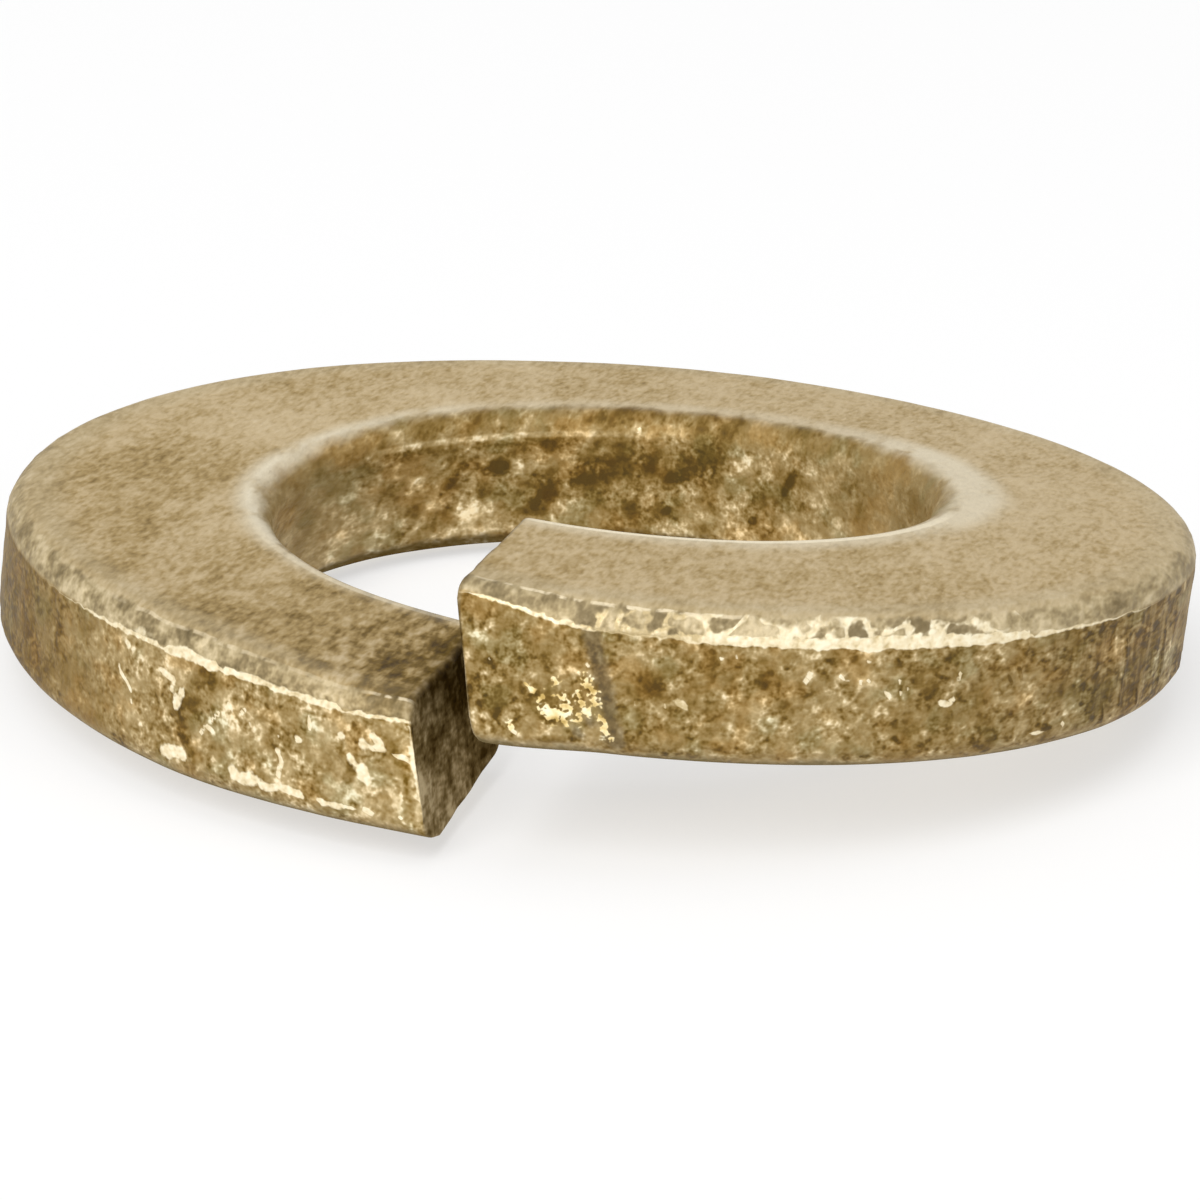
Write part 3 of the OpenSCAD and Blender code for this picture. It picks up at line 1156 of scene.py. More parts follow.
class NodeBench:
    """Short ways to lay and join the nodes of one material."""

    shift_way: Colour = (1.0, 1.7, -0.6)

    def __init__(self, name: str) -> None:
        """Starts an empty material.

        Args:
            name: The material's name.
        """
        self.material = bpy.data.materials.new(name)
        self.material.use_nodes = True
        self.tree = self.material.node_tree
        self.tree.nodes.clear()

    def node(self, kind: str, **settings: object) -> bpy.types.Node:
        """Adds a node.

        Args:
            kind: Blender's name for the kind of node.
            settings: Properties to set on it.

        Returns:
            The node.
        """
        made = self.tree.nodes.new(kind)
        for name, value in settings.items():
            setattr(made, name, value)
        return made

    def join(self, source: object, target: bpy.types.NodeSocket) -> None:
        """Links a socket to an input, or sets the input to a plain value.

        Args:
            source: A socket, a number or a colour.
            target: The input that takes it.
        """
        if isinstance(source, bpy.types.NodeSocket):
            self.tree.links.new(source, target)
        elif isinstance(source, tuple):
            target.default_value = (*source, 1.0) if len(target.default_value) == 4 else source
        else:
            target.default_value = source

    def place(self, stretch: Colour) -> bpy.types.NodeSocket:
        """The point on the object in millimetres, with each axis stretched."""
        coords = self.node("ShaderNodeTexCoord")
        scaled = self.node("ShaderNodeVectorMath", operation="MULTIPLY")
        self.join(coords.outputs["Object"], scaled.inputs[0])
        scaled.inputs[1].default_value = tuple(part / METRES for part in stretch)
        return scaled.outputs[0]

    def noise(self, kind: NoiseKind) -> bpy.types.NodeSocket:
        """Cloudy values round NOISE_MIDDLE.

        Args:
            kind: The pattern.

        Returns:
            The values.
        """
        moved = self.node("ShaderNodeVectorMath", operation="ADD")
        self.join(self.place(kind.stretch), moved.inputs[0])
        moved.inputs[1].default_value = tuple(kind.shift * part for part in self.shift_way)
        made = self.node("ShaderNodeTexNoise")
        self.join(moved.outputs[0], made.inputs["Vector"])
        made.inputs["Scale"].default_value = 1 / kind.spacing
        made.inputs["Detail"].default_value = kind.detail
        made.inputs["Roughness"].default_value = kind.roughness
        return made.outputs["Fac"]

    def value(self, name: str) -> bpy.types.NodeSocket:
        """A field of wear held by the mesh."""
        return self.node("ShaderNodeAttribute", attribute_name=name).outputs["Fac"]

    def math(self, operation: str, one: object, two: object) -> bpy.types.NodeSocket:
        """One sum, product or other operation on two values.

        Args:
            operation: Blender's name for it.
            one: First socket or number.
            two: Second socket or number.

        Returns:
            The result.
        """
        made = self.node("ShaderNodeMath", operation=operation)
        self.join(one, made.inputs[0])
        self.join(two, made.inputs[1])
        return made.outputs[0]

    def step(self, value: bpy.types.NodeSocket, low: float, high: float) -> bpy.types.NodeSocket:
        """Smooth step from 0 at low to 1 at high."""
        made = self.node("ShaderNodeMapRange", interpolation_type="SMOOTHSTEP")
        self.join(value, made.inputs["Value"])
        made.inputs["From Min"].default_value = low
        made.inputs["From Max"].default_value = high
        return made.outputs["Result"]

    def range(self, value: bpy.types.NodeSocket, low: float, high: float) -> bpy.types.NodeSocket:
        """Value from 0 to 1 spread over low to high."""
        made = self.node("ShaderNodeMapRange")
        self.join(value, made.inputs["Value"])
        made.inputs["To Min"].default_value = low
        made.inputs["To Max"].default_value = high
        return made.outputs["Result"]

    def blend(
        self, base: object, *parts: tuple[bpy.types.NodeSocket, float]
    ) -> bpy.types.NodeSocket:
        """Base value moved up and down by several noises.

        Args:
            base: The value where every noise is at its middle.
            parts: Each noise and how strongly it tells.

        Returns:
            The sum.
        """
        total = base
        for cloud, strength in parts:
            drop = strength / 2
            lowered = total - drop if isinstance(total, float) else self.math("SUBTRACT", total, drop)
            made = self.node("ShaderNodeMath", operation="MULTIPLY_ADD")
            self.join(cloud, made.inputs[0])
            self.join(strength, made.inputs[1])
            self.join(lowered, made.inputs[2])
            total = made.outputs[0]
        return total

    def tones(self, value: bpy.types.NodeSocket, tones: tuple[Tone, ...]) -> bpy.types.NodeSocket:
        """Colour that goes from tone to tone as a value grows.

        Args:
            value: The value.
            tones: Values with their colours, in growing order.

        Returns:
            The colour.
        """
        made = self.node("ShaderNodeValToRGB")
        stops = made.color_ramp.elements
        while len(stops) < len(tones):
            stops.new(0.5)
        for stop, (place, colour) in zip(stops, tones):
            stop.position = place
            stop.color = (*colour, 1.0)
        self.join(value, made.inputs["Fac"])
        return made.outputs["Color"]

    def all_of(self, *shares: object) -> bpy.types.NodeSocket:
        """Product of several shares."""
        total = shares[0]
        for share in shares[1:]:
            total = self.math("MULTIPLY", total, share)
        return total

    def total(self, *parts: object) -> bpy.types.NodeSocket:
        """Sum of several values."""
        result = parts[0]
        for part in parts[1:]:
            result = self.math("ADD", result, part)
        return result

    def apart(self, one: object, two: object) -> bpy.types.NodeSocket:
        """How far two values lie apart."""
        return self.math("ABSOLUTE", self.math("SUBTRACT", one, two), 0.0)

    def away(self, share: bpy.types.NodeSocket) -> bpy.types.NodeSocket:
        """What a share leaves over from one."""
        return self.math("SUBTRACT", 1.0, share)

    def mix(
        self, share: object, under: object, over: object, blend_type: str = "MIX"
    ) -> bpy.types.NodeSocket:
        """One colour laid over another.

        Args:
            share: How much of the upper colour shows.
            under: The lower colour.
            over: The upper colour.
            blend_type: Blender's name for how the two meet.

        Returns:
            The mixed colour.
        """
        made = self.node("ShaderNodeMix", data_type="RGBA", blend_type=blend_type, clamp_factor=True)
        self.join(share, made.inputs[0])
        self.join(under, made.inputs[6])
        self.join(over, made.inputs[7])
        return made.outputs[2]

    def tinted(self, share: object, under: object, factor: Colour) -> bpy.types.NodeSocket:
        """One colour multiplied by a factor for each of red, green and blue, as far as the share goes."""
        return self.mix(share, under, factor, "MULTIPLY")

    def ragged(
        self, value: bpy.types.NodeSocket, cloud: bpy.types.NodeSocket, rag: float, soft: float
    ) -> bpy.types.NodeSocket:
        """Share of a worn patch, with its edge torn by noise.

        Args:
            value: Field that is above 0 inside the patch.
            cloud: Noise that tears the edge.
            rag: How far the noise moves the edge, in the field's own units.
            soft: Half the width over which the edge fades.

        Returns:
            1 inside the patch and 0 outside.
        """
        torn = self.math("MULTIPLY", self.math("SUBTRACT", cloud, NOISE_MIDDLE), rag)
        return self.step(self.math("ADD", value, torn), -soft, soft)


@dataclass(frozen=True)
class Mixture:
    """How strongly each of the shared noises tells in a value."""

    grain: float = 0.0
    speck: float = 0.0
    streak: float = 0.0
    loops: float = 0.0
    patch: float = 0.0
    cloud: float = 0.0


@dataclass
class Clouds:
    """The noises that all parts of the finish share, and the bench that they are laid out on."""

    bench: NodeBench
    grain: bpy.types.NodeSocket
    speck: bpy.types.NodeSocket
    patch: bpy.types.NodeSocket
    cloud: bpy.types.NodeSocket
    streak: bpy.types.NodeSocket
    drag: bpy.types.NodeSocket
    loops: bpy.types.NodeSocket
    hue: bpy.types.NodeSocket

    @classmethod
    def over(cls, bench: NodeBench) -> "Clouds":
        """Lays out the noises.

        Args:
            bench: The material's nodes.

        Returns:
            The noises.
        """
        kinds = {
            "grain": NoiseKind(spacing=0.055, detail=1, roughness=0.5),
            "speck": NoiseKind(spacing=0.12, detail=2, roughness=0.5, shift=5.0),
            "patch": NoiseKind(spacing=0.34, detail=3, roughness=0.55, shift=9.0),
            "cloud": NoiseKind(spacing=1.2, detail=3, roughness=0.5, shift=14.0),
            "streak": NoiseKind(spacing=0.22, detail=3, roughness=0.6, shift=3.0, stretch=(0.4, 1.0, 1.0)),
            "drag": NoiseKind(spacing=0.13, detail=2, roughness=0.5, shift=8.0, stretch=(1.0, 1.0, 0.12)),
            "loops": NoiseKind(spacing=0.2, detail=1, roughness=0.4, shift=27.0),
            "hue": NoiseKind(spacing=0.45, detail=2, roughness=0.6, shift=33.0),
        }
        return cls(bench=bench, **{name: bench.noise(kind) for name, kind in kinds.items()})

    def stir(self, base: object, mixture: Mixture) -> bpy.types.NodeSocket:
        """Base value moved up and down by the shared noises.

        Args:
            base: The value where every noise is at its middle, as a number or a socket.
            mixture: How strongly each noise tells.

        Returns:
            The sum.
        """
        strengths = {part.name: getattr(mixture, part.name) for part in fields(mixture)}
        parts = [(getattr(self, name), strength) for name, strength in strengths.items() if strength]
        return self.bench.blend(base, *parts)


@dataclass(frozen=True)
class FaceFinish:
    """Tan of the flat faces, stained near the low end and darkened there by painted shadow under the high
    end, with a film at the rim and a pale lip at the bore, a haze with a painted highlight.
    """

    tones: tuple[Tone, ...] = (
        (0.05, (0.085, 0.05, 0.012)), (0.22, (0.20, 0.125, 0.03)), (0.36, (0.40, 0.28, 0.115)),
        (0.43, (0.49, 0.365, 0.185)), (0.50, (0.565, 0.435, 0.245)), (0.60, (0.62, 0.49, 0.295)),
        (0.78, (0.76, 0.64, 0.44)),
    )
    film_tones: tuple[Tone, ...] = (
        (0.25, (0.34, 0.26, 0.14)), (0.50, (0.51, 0.41, 0.24)), (0.75, (0.64, 0.54, 0.36)),
    )
    mottle: Mixture = Mixture(grain=0.35, speck=0.25, patch=0.2, cloud=0.32)
    stain: Mixture = Mixture(streak=0.45, patch=0.5, speck=0.5)
    film: Mixture = Mixture(grain=0.45, patch=0.5, cloud=0.5)
    film_edge: Mixture = Mixture(patch=0.3)
    film_fade: Fade = (0.8, 0.42)
    film_share: float = 0.55
    film_lost_in_stain: float = 0.7
    # Colour of the pale lip: haze, with a painted highlight.
    inner_lip: Colour = (0.79, 0.705, 0.53)
    lip_fade: Fade = (0.18, -0.18)
    lip_patches: Fade = (0.2, 0.5)
    lip_share: float = 0.8
    dusk_specks: float = 0.7
    dusk_fade: Fade = (0.0, 0.5)
    dusk_share: float = 0.4

    def colour(self, bench: NodeBench, clouds: Clouds) -> bpy.types.NodeSocket:
        """Colour of the faces.

        Args:
            bench: The material's nodes.
            clouds: The shared noises.

        Returns:
            The colour.
        """
        stain, outer = bench.value("stain"), bench.value("outer")
        stained = bench.all_of(stain, clouds.stir(0.0, self.stain))
        tone = bench.total(clouds.stir(NOISE_MIDDLE, self.mottle), stained, bench.value("face_shade"))
        colour = bench.tones(tone, self.tones)
        edge = clouds.stir(bench.value("above_rim"), self.film_edge)
        clear = bench.away(bench.all_of(stain, self.film_lost_in_stain))
        film = bench.all_of(bench.step(edge, *self.film_fade), outer, clear, self.film_share)
        film_colour = bench.tones(clouds.stir(NOISE_MIDDLE, self.film), self.film_tones)
        colour = bench.mix(film, colour, film_colour)
        # Pale lip at the bore: haze, with a painted highlight on the rounding.
        beyond = bench.math("SUBTRACT", bench.value("above_bore"), bench.value("inner_reach"))
        lip = bench.all_of(
            bench.step(beyond, *self.lip_fade), bench.value("inner_lip"), bench.away(outer),
            bench.step(clouds.patch, *self.lip_patches), self.lip_share,
        )
        colour = bench.mix(lip, colour, self.inner_lip)
        # Painted shadow where the low end lies under the high end, broken by specks.
        specks = bench.all_of(clouds.speck, self.dusk_specks)
        high_end_shadow = bench.step(bench.math("SUBTRACT", bench.value("high_end_shadow"), specks), *self.dusk_fade)
        return bench.mix(bench.all_of(high_end_shadow, self.dusk_share), colour, DARK_GRIME_AND_SHADOW)


@dataclass(frozen=True)
class GrimeAndShadowFinish:
    """Dark band along the rounded lower edges of the rim and the bore wall: grime, with painted shadow under
    them.
    """

    # Colour of grime, with painted shadow, along the foot of the rim.
    foot: Colour = (0.17, 0.13, 0.062)
    foot_wander: Mixture = Mixture(patch=0.25, speck=0.2)
    foot_start: Fade = (0.08, 0.26)
    foot_end: Fade = (0.62, 0.4)
    under_wander: Mixture = Mixture(speck=0.15)
    under_start: Fade = (0.02, 0.12)
    under_end: Fade = (0.6, 0.38)
    under_share: float = 0.8

    def on_foot(self, bench: NodeBench, clouds: Clouds) -> bpy.types.NodeSocket:
        """Share of grime and painted shadow along the foot of the rim."""
        below = clouds.stir(bench.value("below_rim"), self.foot_wander)
        start, end = bench.step(below, *self.foot_start), bench.step(below, *self.foot_end)
        return bench.all_of(bench.value("outer"), start, end)

    def under_bore(self, bench: NodeBench, clouds: Clouds) -> bpy.types.NodeSocket:
        """Share of grime and painted shadow along the lower edge of the bore wall."""
        below = clouds.stir(bench.value("below_bore"), self.under_wander)
        start, end = bench.step(below, *self.under_start), bench.step(below, *self.under_end)
        return bench.all_of(bench.away(bench.value("outer")), start, end)

    def dull(self, bench: NodeBench, clouds: Clouds) -> bpy.types.NodeSocket:
        """Share of skin kept from shining: the lower edges with their grime and painted shadow, the cut
        faces, and the low end's top in painted shadow.
        """
        low = bench.math("MAXIMUM", self.on_foot(bench, clouds), self.under_bore(bench, clouds))
        return bench.math("MAXIMUM", low, bench.math("MAXIMUM", bench.value("on_cut"), bench.value("high_end_shadow")))


@dataclass(frozen=True)
class Stain:
    """How marks of one tint change the tone of a wall: how torn and soft their edges are, and how deep."""

    tint: Tint
    rag: float
    soft: float
    depth: float


@dataclass(frozen=True)
class WallFinish:
    """Mottled olive of the rim and bore wall, with its stains, flecks and drag marks, painted shade towards
    the rim's far ends, and grime with painted shadow along the lower edges.
    """

    tones: tuple[Tone, ...] = (
        (0.08, (0.09, 0.051, 0.008)), (0.24, (0.155, 0.088, 0.014)), (0.33, (0.225, 0.14, 0.034)),
        (0.41, (0.28, 0.184, 0.06)), (0.49, (0.33, 0.229, 0.088)), (0.57, (0.395, 0.284, 0.125)),
        (0.66, (0.49, 0.366, 0.18)), (0.79, (0.74, 0.59, 0.345)), (0.92, (0.90, 0.78, 0.53)),
    )
    middle_tone: float = 0.49
    fine: Mixture = Mixture(grain=0.8, speck=0.6)
    broad: Mixture = Mixture(patch=0.65, cloud=0.35)
    bore_blotch: Mixture = Mixture(loops=0.5)
    rough_loops: Fade = (0.36, 0.62)
    rough_gain: Fade = (0.55, 1.3)
    bore_to_rim_gain: Fade = (0.7, 1.0)
    fleck_specks: Fade = (0.53, 0.68)
    fleck_height: float = 0.22
    drag_height: float = 0.65
    stains: tuple[Stain, ...] = (
        Stain(Tint.BROWN, rag=1.8, soft=0.8, depth=-0.14),
        Stain(Tint.PALE, rag=2.0, soft=0.7, depth=0.12),
        Stain(Tint.DARK, rag=1.8, soft=0.5, depth=-0.2),
    )
    ledge_fade: Fade = (0.05, 0.015)
    ledge_light: float = 0.2
    rust: Colour = (1.03, 0.95, 0.82)
    rust_hues: Fade = (0.52, 0.66)
    olive: Colour = (0.91, 0.98, 1.02)
    olive_hues: Fade = (0.48, 0.34)
    ash: Colour = (0.13, 0.104, 0.064)
    ash_rag: float = 2.2
    ash_soft: float = 0.6
    ash_share: float = 0.5
    rim_top: Fade = (0.04, -0.02)
    lower_end: Fade = (0.55, 0.38)
    foot_cover: float = 0.85
    bore_top_wander: Mixture = Mixture(patch=0.35, speck=0.1)
    bore_top_fade: Fade = (0.17, -0.17)

    def colour(
        self, bench: NodeBench, clouds: Clouds, grime: GrimeAndShadowFinish, colour: bpy.types.NodeSocket
    ) -> bpy.types.NodeSocket:
        """Lays the walls, with the grime and painted shadow of their lower edges, over the faces.

        Args:
            bench: The material's nodes.
            clouds: The shared noises.
            grime: The grime and painted shadow along the lower edges.
            colour: Colour that shows beyond the walls.

        Returns:
            The colour.
        """
        outer = bench.value("outer")
        wall = bench.tones(self.tone(bench, clouds, outer), self.tones)
        wall = bench.tinted(bench.step(clouds.hue, *self.rust_hues), wall, self.rust)
        wall = bench.tinted(bench.step(clouds.hue, *self.olive_hues), wall, self.olive)
        ash = bench.ragged(bench.value("ash"), clouds.speck, self.ash_rag, self.ash_soft)
        wall = bench.mix(bench.all_of(ash, self.ash_share), wall, self.ash)
        foot, under = grime.on_foot(bench, clouds), grime.under_bore(bench, clouds)
        on_rim = bench.all_of(
            outer, bench.step(bench.value("above_rim"), *self.rim_top),
            bench.away(bench.all_of(foot, self.foot_cover)),
            bench.step(bench.value("below_rim"), *self.lower_end),
        )
        over_bore = clouds.stir(bench.value("above_bore"), self.bore_top_wander)
        past = bench.math("SUBTRACT", over_bore, bench.value("bore_top"))
        on_bore = bench.all_of(
            bench.away(outer), bench.step(past, *self.bore_top_fade),
            bench.step(bench.value("below_bore"), *self.lower_end),
        )
        # Grime with painted shadow goes along the foot of the rim here and, last, along the bore's lower
        # edge.
        colour = bench.mix(foot, colour, grime.foot)
        colour = bench.mix(bench.math("ADD", on_rim, on_bore), colour, wall)
        return bench.mix(bench.all_of(under, grime.under_share), colour, DARK_GRIME_AND_SHADOW)

    def tone(
        self, bench: NodeBench, clouds: Clouds, outer: bpy.types.NodeSocket
    ) -> bpy.types.NodeSocket:
        """Lightness of the walls on the scale of their tones, with painted shade towards the rim's far ends.

        Args:
            bench: The material's nodes.
            clouds: The shared noises.
            outer: 1 on the rim's side and 0 on the bore's.

        Returns:
            The lightness.
        """
        rough = bench.range(bench.step(clouds.loops, *self.rough_loops), *self.rough_gain)
        rough = bench.all_of(rough, bench.range(outer, *self.bore_to_rim_gain))
        fine = bench.all_of(clouds.stir(0.0, self.fine), rough)
        blotch = bench.all_of(bench.away(outer), clouds.stir(0.0, self.bore_blotch))
        specks = bench.step(clouds.speck, *self.fleck_specks)
        flecks = bench.all_of(bench.value("fleck"), specks, outer, self.fleck_height)
        lines = bench.math("SUBTRACT", clouds.drag, NOISE_MIDDLE)
        dragged = bench.all_of(bench.value("drag"), lines, self.drag_height)
        tone = bench.total(fine, clouds.stir(0.0, self.broad), blotch, flecks, dragged)
        for stain in self.stains:
            share = bench.ragged(bench.value(stain.tint.value), clouds.patch, stain.rag, stain.soft)
            tone = bench.total(tone, bench.all_of(share, stain.depth))
        off_ledge = bench.apart(bench.value("above_bore"), LEDGE_LEVEL)
        ledge = bench.all_of(bench.step(off_ledge, *self.ledge_fade), bench.value("ledge"), self.ledge_light)
        tone = bench.all_of(tone, bench.value("contrast"))
        # Adds painted shade towards the rim's far ends, and tone on the bore wall.
        return bench.total(tone, ledge, bench.value("shade"), self.middle_tone)


@dataclass(frozen=True)
class CornerFinish:
    """Chain of dark chips along the rim's upper corner, a thin light ridge over it, and a painted highlight
    along the bore's upper edge.
    """

    chain_tones: tuple[Tone, ...] = (
        (0.32, (0.145, 0.108, 0.05)), (0.45, (0.255, 0.195, 0.098)), (0.54, (0.40, 0.315, 0.17)),
        (0.70, (0.66, 0.545, 0.34)),
    )
    chain: Mixture = Mixture(grain=0.4, loops=0.6, patch=0.7)
    chain_wander: Mixture = Mixture(speck=0.25)
    chain_start: Fade = (0.0, 0.04)
    chain_end: Fade = (0.31, 0.22)
    ridge: Colour = (0.84, 0.72, 0.50)
    ridge_wander: Mixture = Mixture(patch=0.12)
    ridge_height: float = 0.26
    ridge_fade: Fade = (0.034, 0.012)
    ridge_breaks: Fade = (0.4, 0.56)
    ridge_share: float = 0.85
    # Colour and place of the painted highlight along the bore's upper edge.
    inner_line: Colour = (0.95, 0.85, 0.64)
    line_height: float = 0.4
    line_fade: Fade = (0.075, 0.035)
    line_share: float = 0.9

    def colour(
        self, bench: NodeBench, clouds: Clouds, colour: bpy.types.NodeSocket
    ) -> bpy.types.NodeSocket:
        """Lays the chain, the light ridge and the painted highlight at the bore over the faces and walls.

        Args:
            bench: The material's nodes.
            clouds: The shared noises.
            colour: Colour that shows beyond the corner.

        Returns:
            The colour.
        """
        above, outer = bench.value("above_rim"), bench.value("outer")
        upper = clouds.stir(above, self.chain_wander)
        band = bench.all_of(
            outer, bench.step(above, *self.chain_start), bench.step(upper, *self.chain_end),
            bench.value("chain"),
        )
        colour = bench.mix(band, colour, bench.tones(clouds.stir(NOISE_MIDDLE, self.chain), self.chain_tones))
        off_ridge = bench.apart(clouds.stir(above, self.ridge_wander), self.ridge_height)
        ridge = bench.all_of(
            outer, bench.step(off_ridge, *self.ridge_fade), bench.value("ridge"),
            bench.step(clouds.speck, *self.ridge_breaks), self.ridge_share,
        )
        colour = bench.mix(ridge, colour, self.ridge)
        # Painted highlight along the upper edge of the bore wall.
        off_line = bench.apart(bench.value("above_bore"), self.line_height)
        line = bench.all_of(
            bench.away(outer), bench.step(off_line, *self.line_fade), bench.value("inner_line"),
            self.line_share,
        )
        return bench.mix(line, colour, self.inner_line)


@dataclass(frozen=True)
class BareFinish:
    """Bare metal: scrapes, the line along the rim's upper edge, the lace above it and fresh gold."""

    tones: tuple[Tone, ...] = (
        (0.2, (0.60, 0.47, 0.25)), (0.5, (0.84, 0.71, 0.46)), (0.8, (0.96, 0.87, 0.64)),
    )
    middle_tone: float = 0.55
    mottle: Mixture = Mixture(grain=1.0, speck=0.8)
    dimming: float = 0.35
    scrape_rag: float = 2.1
    scrape_soft: float = 0.25
    line_wander: Mixture = Mixture(speck=0.09, patch=0.06)
    line_fade: Fade = (0.012, -0.008)
    lace_wander: Mixture = Mixture(patch=0.25, speck=0.1)
    lace_top: Fade = (0.0, -0.05)
    lace_foot: Fade = (0.0, 0.03)
    lace_least: Fade = (0.04, 0.12)
    thread_wander: Mixture = Mixture(grain=0.12)
    thread_fade: Fade = (0.11, 0.035)
    lace_patches: Fade = (0.59, 0.72)
    lace_holes: Fade = (0.32, 0.48)
    gold_tones: tuple[Tone, ...] = (
        (0.35, (0.55, 0.38, 0.12)), (0.5, (0.88, 0.68, 0.32)), (0.65, (0.98, 0.90, 0.62)),
    )
    gold_start: float = 0.3
    gold_rag: float = 5.5
    gold_soft: float = 0.3

    def gild(
        self, bench: NodeBench, clouds: Clouds, colour: bpy.types.NodeSocket
    ) -> bpy.types.NodeSocket:
        """Lays the flecks of fresh gold over the colour.

        Args:
            bench: The material's nodes.
            clouds: The shared noises.
            colour: Colour that shows round the flecks.

        Returns:
            The colour.
        """
        near = bench.math("SUBTRACT", bench.value("gold"), self.gold_start)
        gold = bench.ragged(near, clouds.grain, self.gold_rag, self.gold_soft)
        return bench.mix(gold, colour, bench.tones(clouds.speck, self.gold_tones))

    def share(self, bench: NodeBench, clouds: Clouds) -> bpy.types.NodeSocket:
        """Share of bare metal, none of it on the cut faces.

        Args:
            bench: The material's nodes.
            clouds: The shared noises.

        Returns:
            The share.
        """
        above, lace, lip = bench.value("above_rim"), bench.value("lace"), bench.value("lip")
        scrapes = bench.ragged(bench.value("cream"), clouds.speck, self.scrape_rag, self.scrape_soft)
        half_lip = bench.math("DIVIDE", lip, 2.0)
        off_line = bench.apart(clouds.stir(above, self.line_wander), half_lip)
        line = bench.step(bench.math("SUBTRACT", off_line, lip), *self.line_fade)
        top = bench.math("SUBTRACT", clouds.stir(above, self.lace_wander), lace)
        within = bench.all_of(
            bench.step(top, *self.lace_top), bench.step(above, *self.lace_foot),
            bench.step(lace, *self.lace_least),
        )
        off_thread = bench.apart(clouds.stir(clouds.loops, self.thread_wander), NOISE_MIDDLE)
        threads = bench.step(off_thread, *self.thread_fade)
        threads = bench.math("MAXIMUM", threads, bench.step(clouds.patch, *self.lace_patches))
        laced = bench.all_of(within, threads, bench.step(clouds.speck, *self.lace_holes))
        edge = bench.all_of(bench.math("MAXIMUM", line, laced), bench.value("outer"))
        return bench.all_of(bench.math("MAXIMUM", scrapes, edge), bench.away(bench.value("on_cut")))

    def colour(self, bench: NodeBench, clouds: Clouds) -> bpy.types.NodeSocket:
        """Colour of the bare metal, dimmer over the crease."""
        dimmed = bench.math("SUBTRACT", self.middle_tone, bench.all_of(bench.value("dim"), self.dimming))
        return bench.tones(clouds.stir(dimmed, self.mottle), self.tones)


@dataclass(frozen=True)
class CutFinish:
    """Dark brown of the sheared faces, torn in upright streaks, with painted shade: darker up under the high
    end and in towards the bore, lighter towards the foot and the rim.
    """

    tones: tuple[Tone, ...] = (
        (0.16, (0.018, 0.009, 0.002)), (0.34, (0.05, 0.028, 0.006)), (0.52, (0.13, 0.088, 0.032)),
        (0.66, (0.25, 0.185, 0.09)), (0.82, (0.46, 0.365, 0.215)),
    )
    foot_tone: float = 0.57
    # Painted shade: darker upwards and lighter out towards the rim, as the high end shades the top and the
    # bore side.
    upwards: float = -0.36
    outwards: float = 0.22
    streaks: NoiseKind = NoiseKind(
        spacing=0.2, detail=4, roughness=0.65, shift=21.0, stretch=(1.0, 0.8, 0.5)
    )
    streak_strength: float = 0.85
    mottle: Mixture = Mixture(grain=0.4, patch=0.9)

    def colour(
        self, bench: NodeBench, clouds: Clouds, colour: bpy.types.NodeSocket
    ) -> bpy.types.NodeSocket:
        """Lays the cut faces over the rest.

        Args:
            bench: The material's nodes.
            clouds: The shared noises.
            colour: Colour that shows beyond the cut faces.

        Returns:
            The colour.
        """
        base = bench.total(
            self.foot_tone, bench.all_of(bench.value("cut_level"), self.upwards),
            bench.all_of(bench.value("cut_across"), self.outwards),
        )
        streaked = bench.blend(base, (bench.noise(self.streaks), self.streak_strength))
        tone = clouds.stir(streaked, self.mottle)
        return bench.mix(bench.value("on_cut"), colour, bench.tones(tone, self.tones))


@dataclass(frozen=True)
class BronzeFinish:
    """Dull tumbled bronze, put together from the finishes of its faces, walls, edges and cuts."""

    faces: FaceFinish = FaceFinish()
    walls: WallFinish = WallFinish()
    grime: GrimeAndShadowFinish = GrimeAndShadowFinish()
    corner: CornerFinish = CornerFinish()
    bare: BareFinish = BareFinish()
    cuts: CutFinish = CutFinish()
    metal: float = 0.22
    specular: float = 0.15
    roughness: Fade = (0.42, 0.68)
    bare_smoothness: float = 0.1
    pit_depth: float = 0.016
    pits: Mixture = Mixture(grain=0.8, speck=0.8, patch=0.5)

    def material(self) -> bpy.types.Material:
        """Lays out the nodes.

        Returns:
            The material.
        """
        bench = NodeBench("worn_silicon_bronze")
        clouds = Clouds.over(bench)
        colour = self.faces.colour(bench, clouds)
        colour = self.walls.colour(bench, clouds, self.grime, colour)
        colour = self.corner.colour(bench, clouds, colour)
        colour = self.bare.gild(bench, clouds, colour)
        colour = self.cuts.colour(bench, clouds, colour)
        bare = self.bare.share(bench, clouds)
        colour = bench.mix(bare, colour, self.bare.colour(bench, clouds))

        shader = bench.node("ShaderNodeBsdfPrincipled")
        bench.join(colour, shader.inputs["Base Color"])
        shiny = bench.away(self.grime.dull(bench, clouds))
        bench.join(bench.all_of(shiny, self.metal), shader.inputs["Metallic"])
        bench.join(bench.all_of(shiny, self.specular), shader.inputs["Specular IOR Level"])
        rough = bench.range(clouds.grain, *self.roughness)
        smoothed = bench.all_of(bare, self.bare_smoothness)
        bench.join(bench.math("SUBTRACT", rough, smoothed), shader.inputs["Roughness"])
        bump = bench.node("ShaderNodeBump")
        bump.inputs["Distance"].default_value = self.pit_depth * METRES
        bench.join(clouds.stir(NOISE_MIDDLE, self.pits), bump.inputs["Height"])
        bench.join(bump.outputs["Normal"], shader.inputs["Normal"])
        output = bench.node("ShaderNodeOutputMaterial")
        bench.join(shader.outputs["BSDF"], output.inputs["Surface"])
        return bench.material


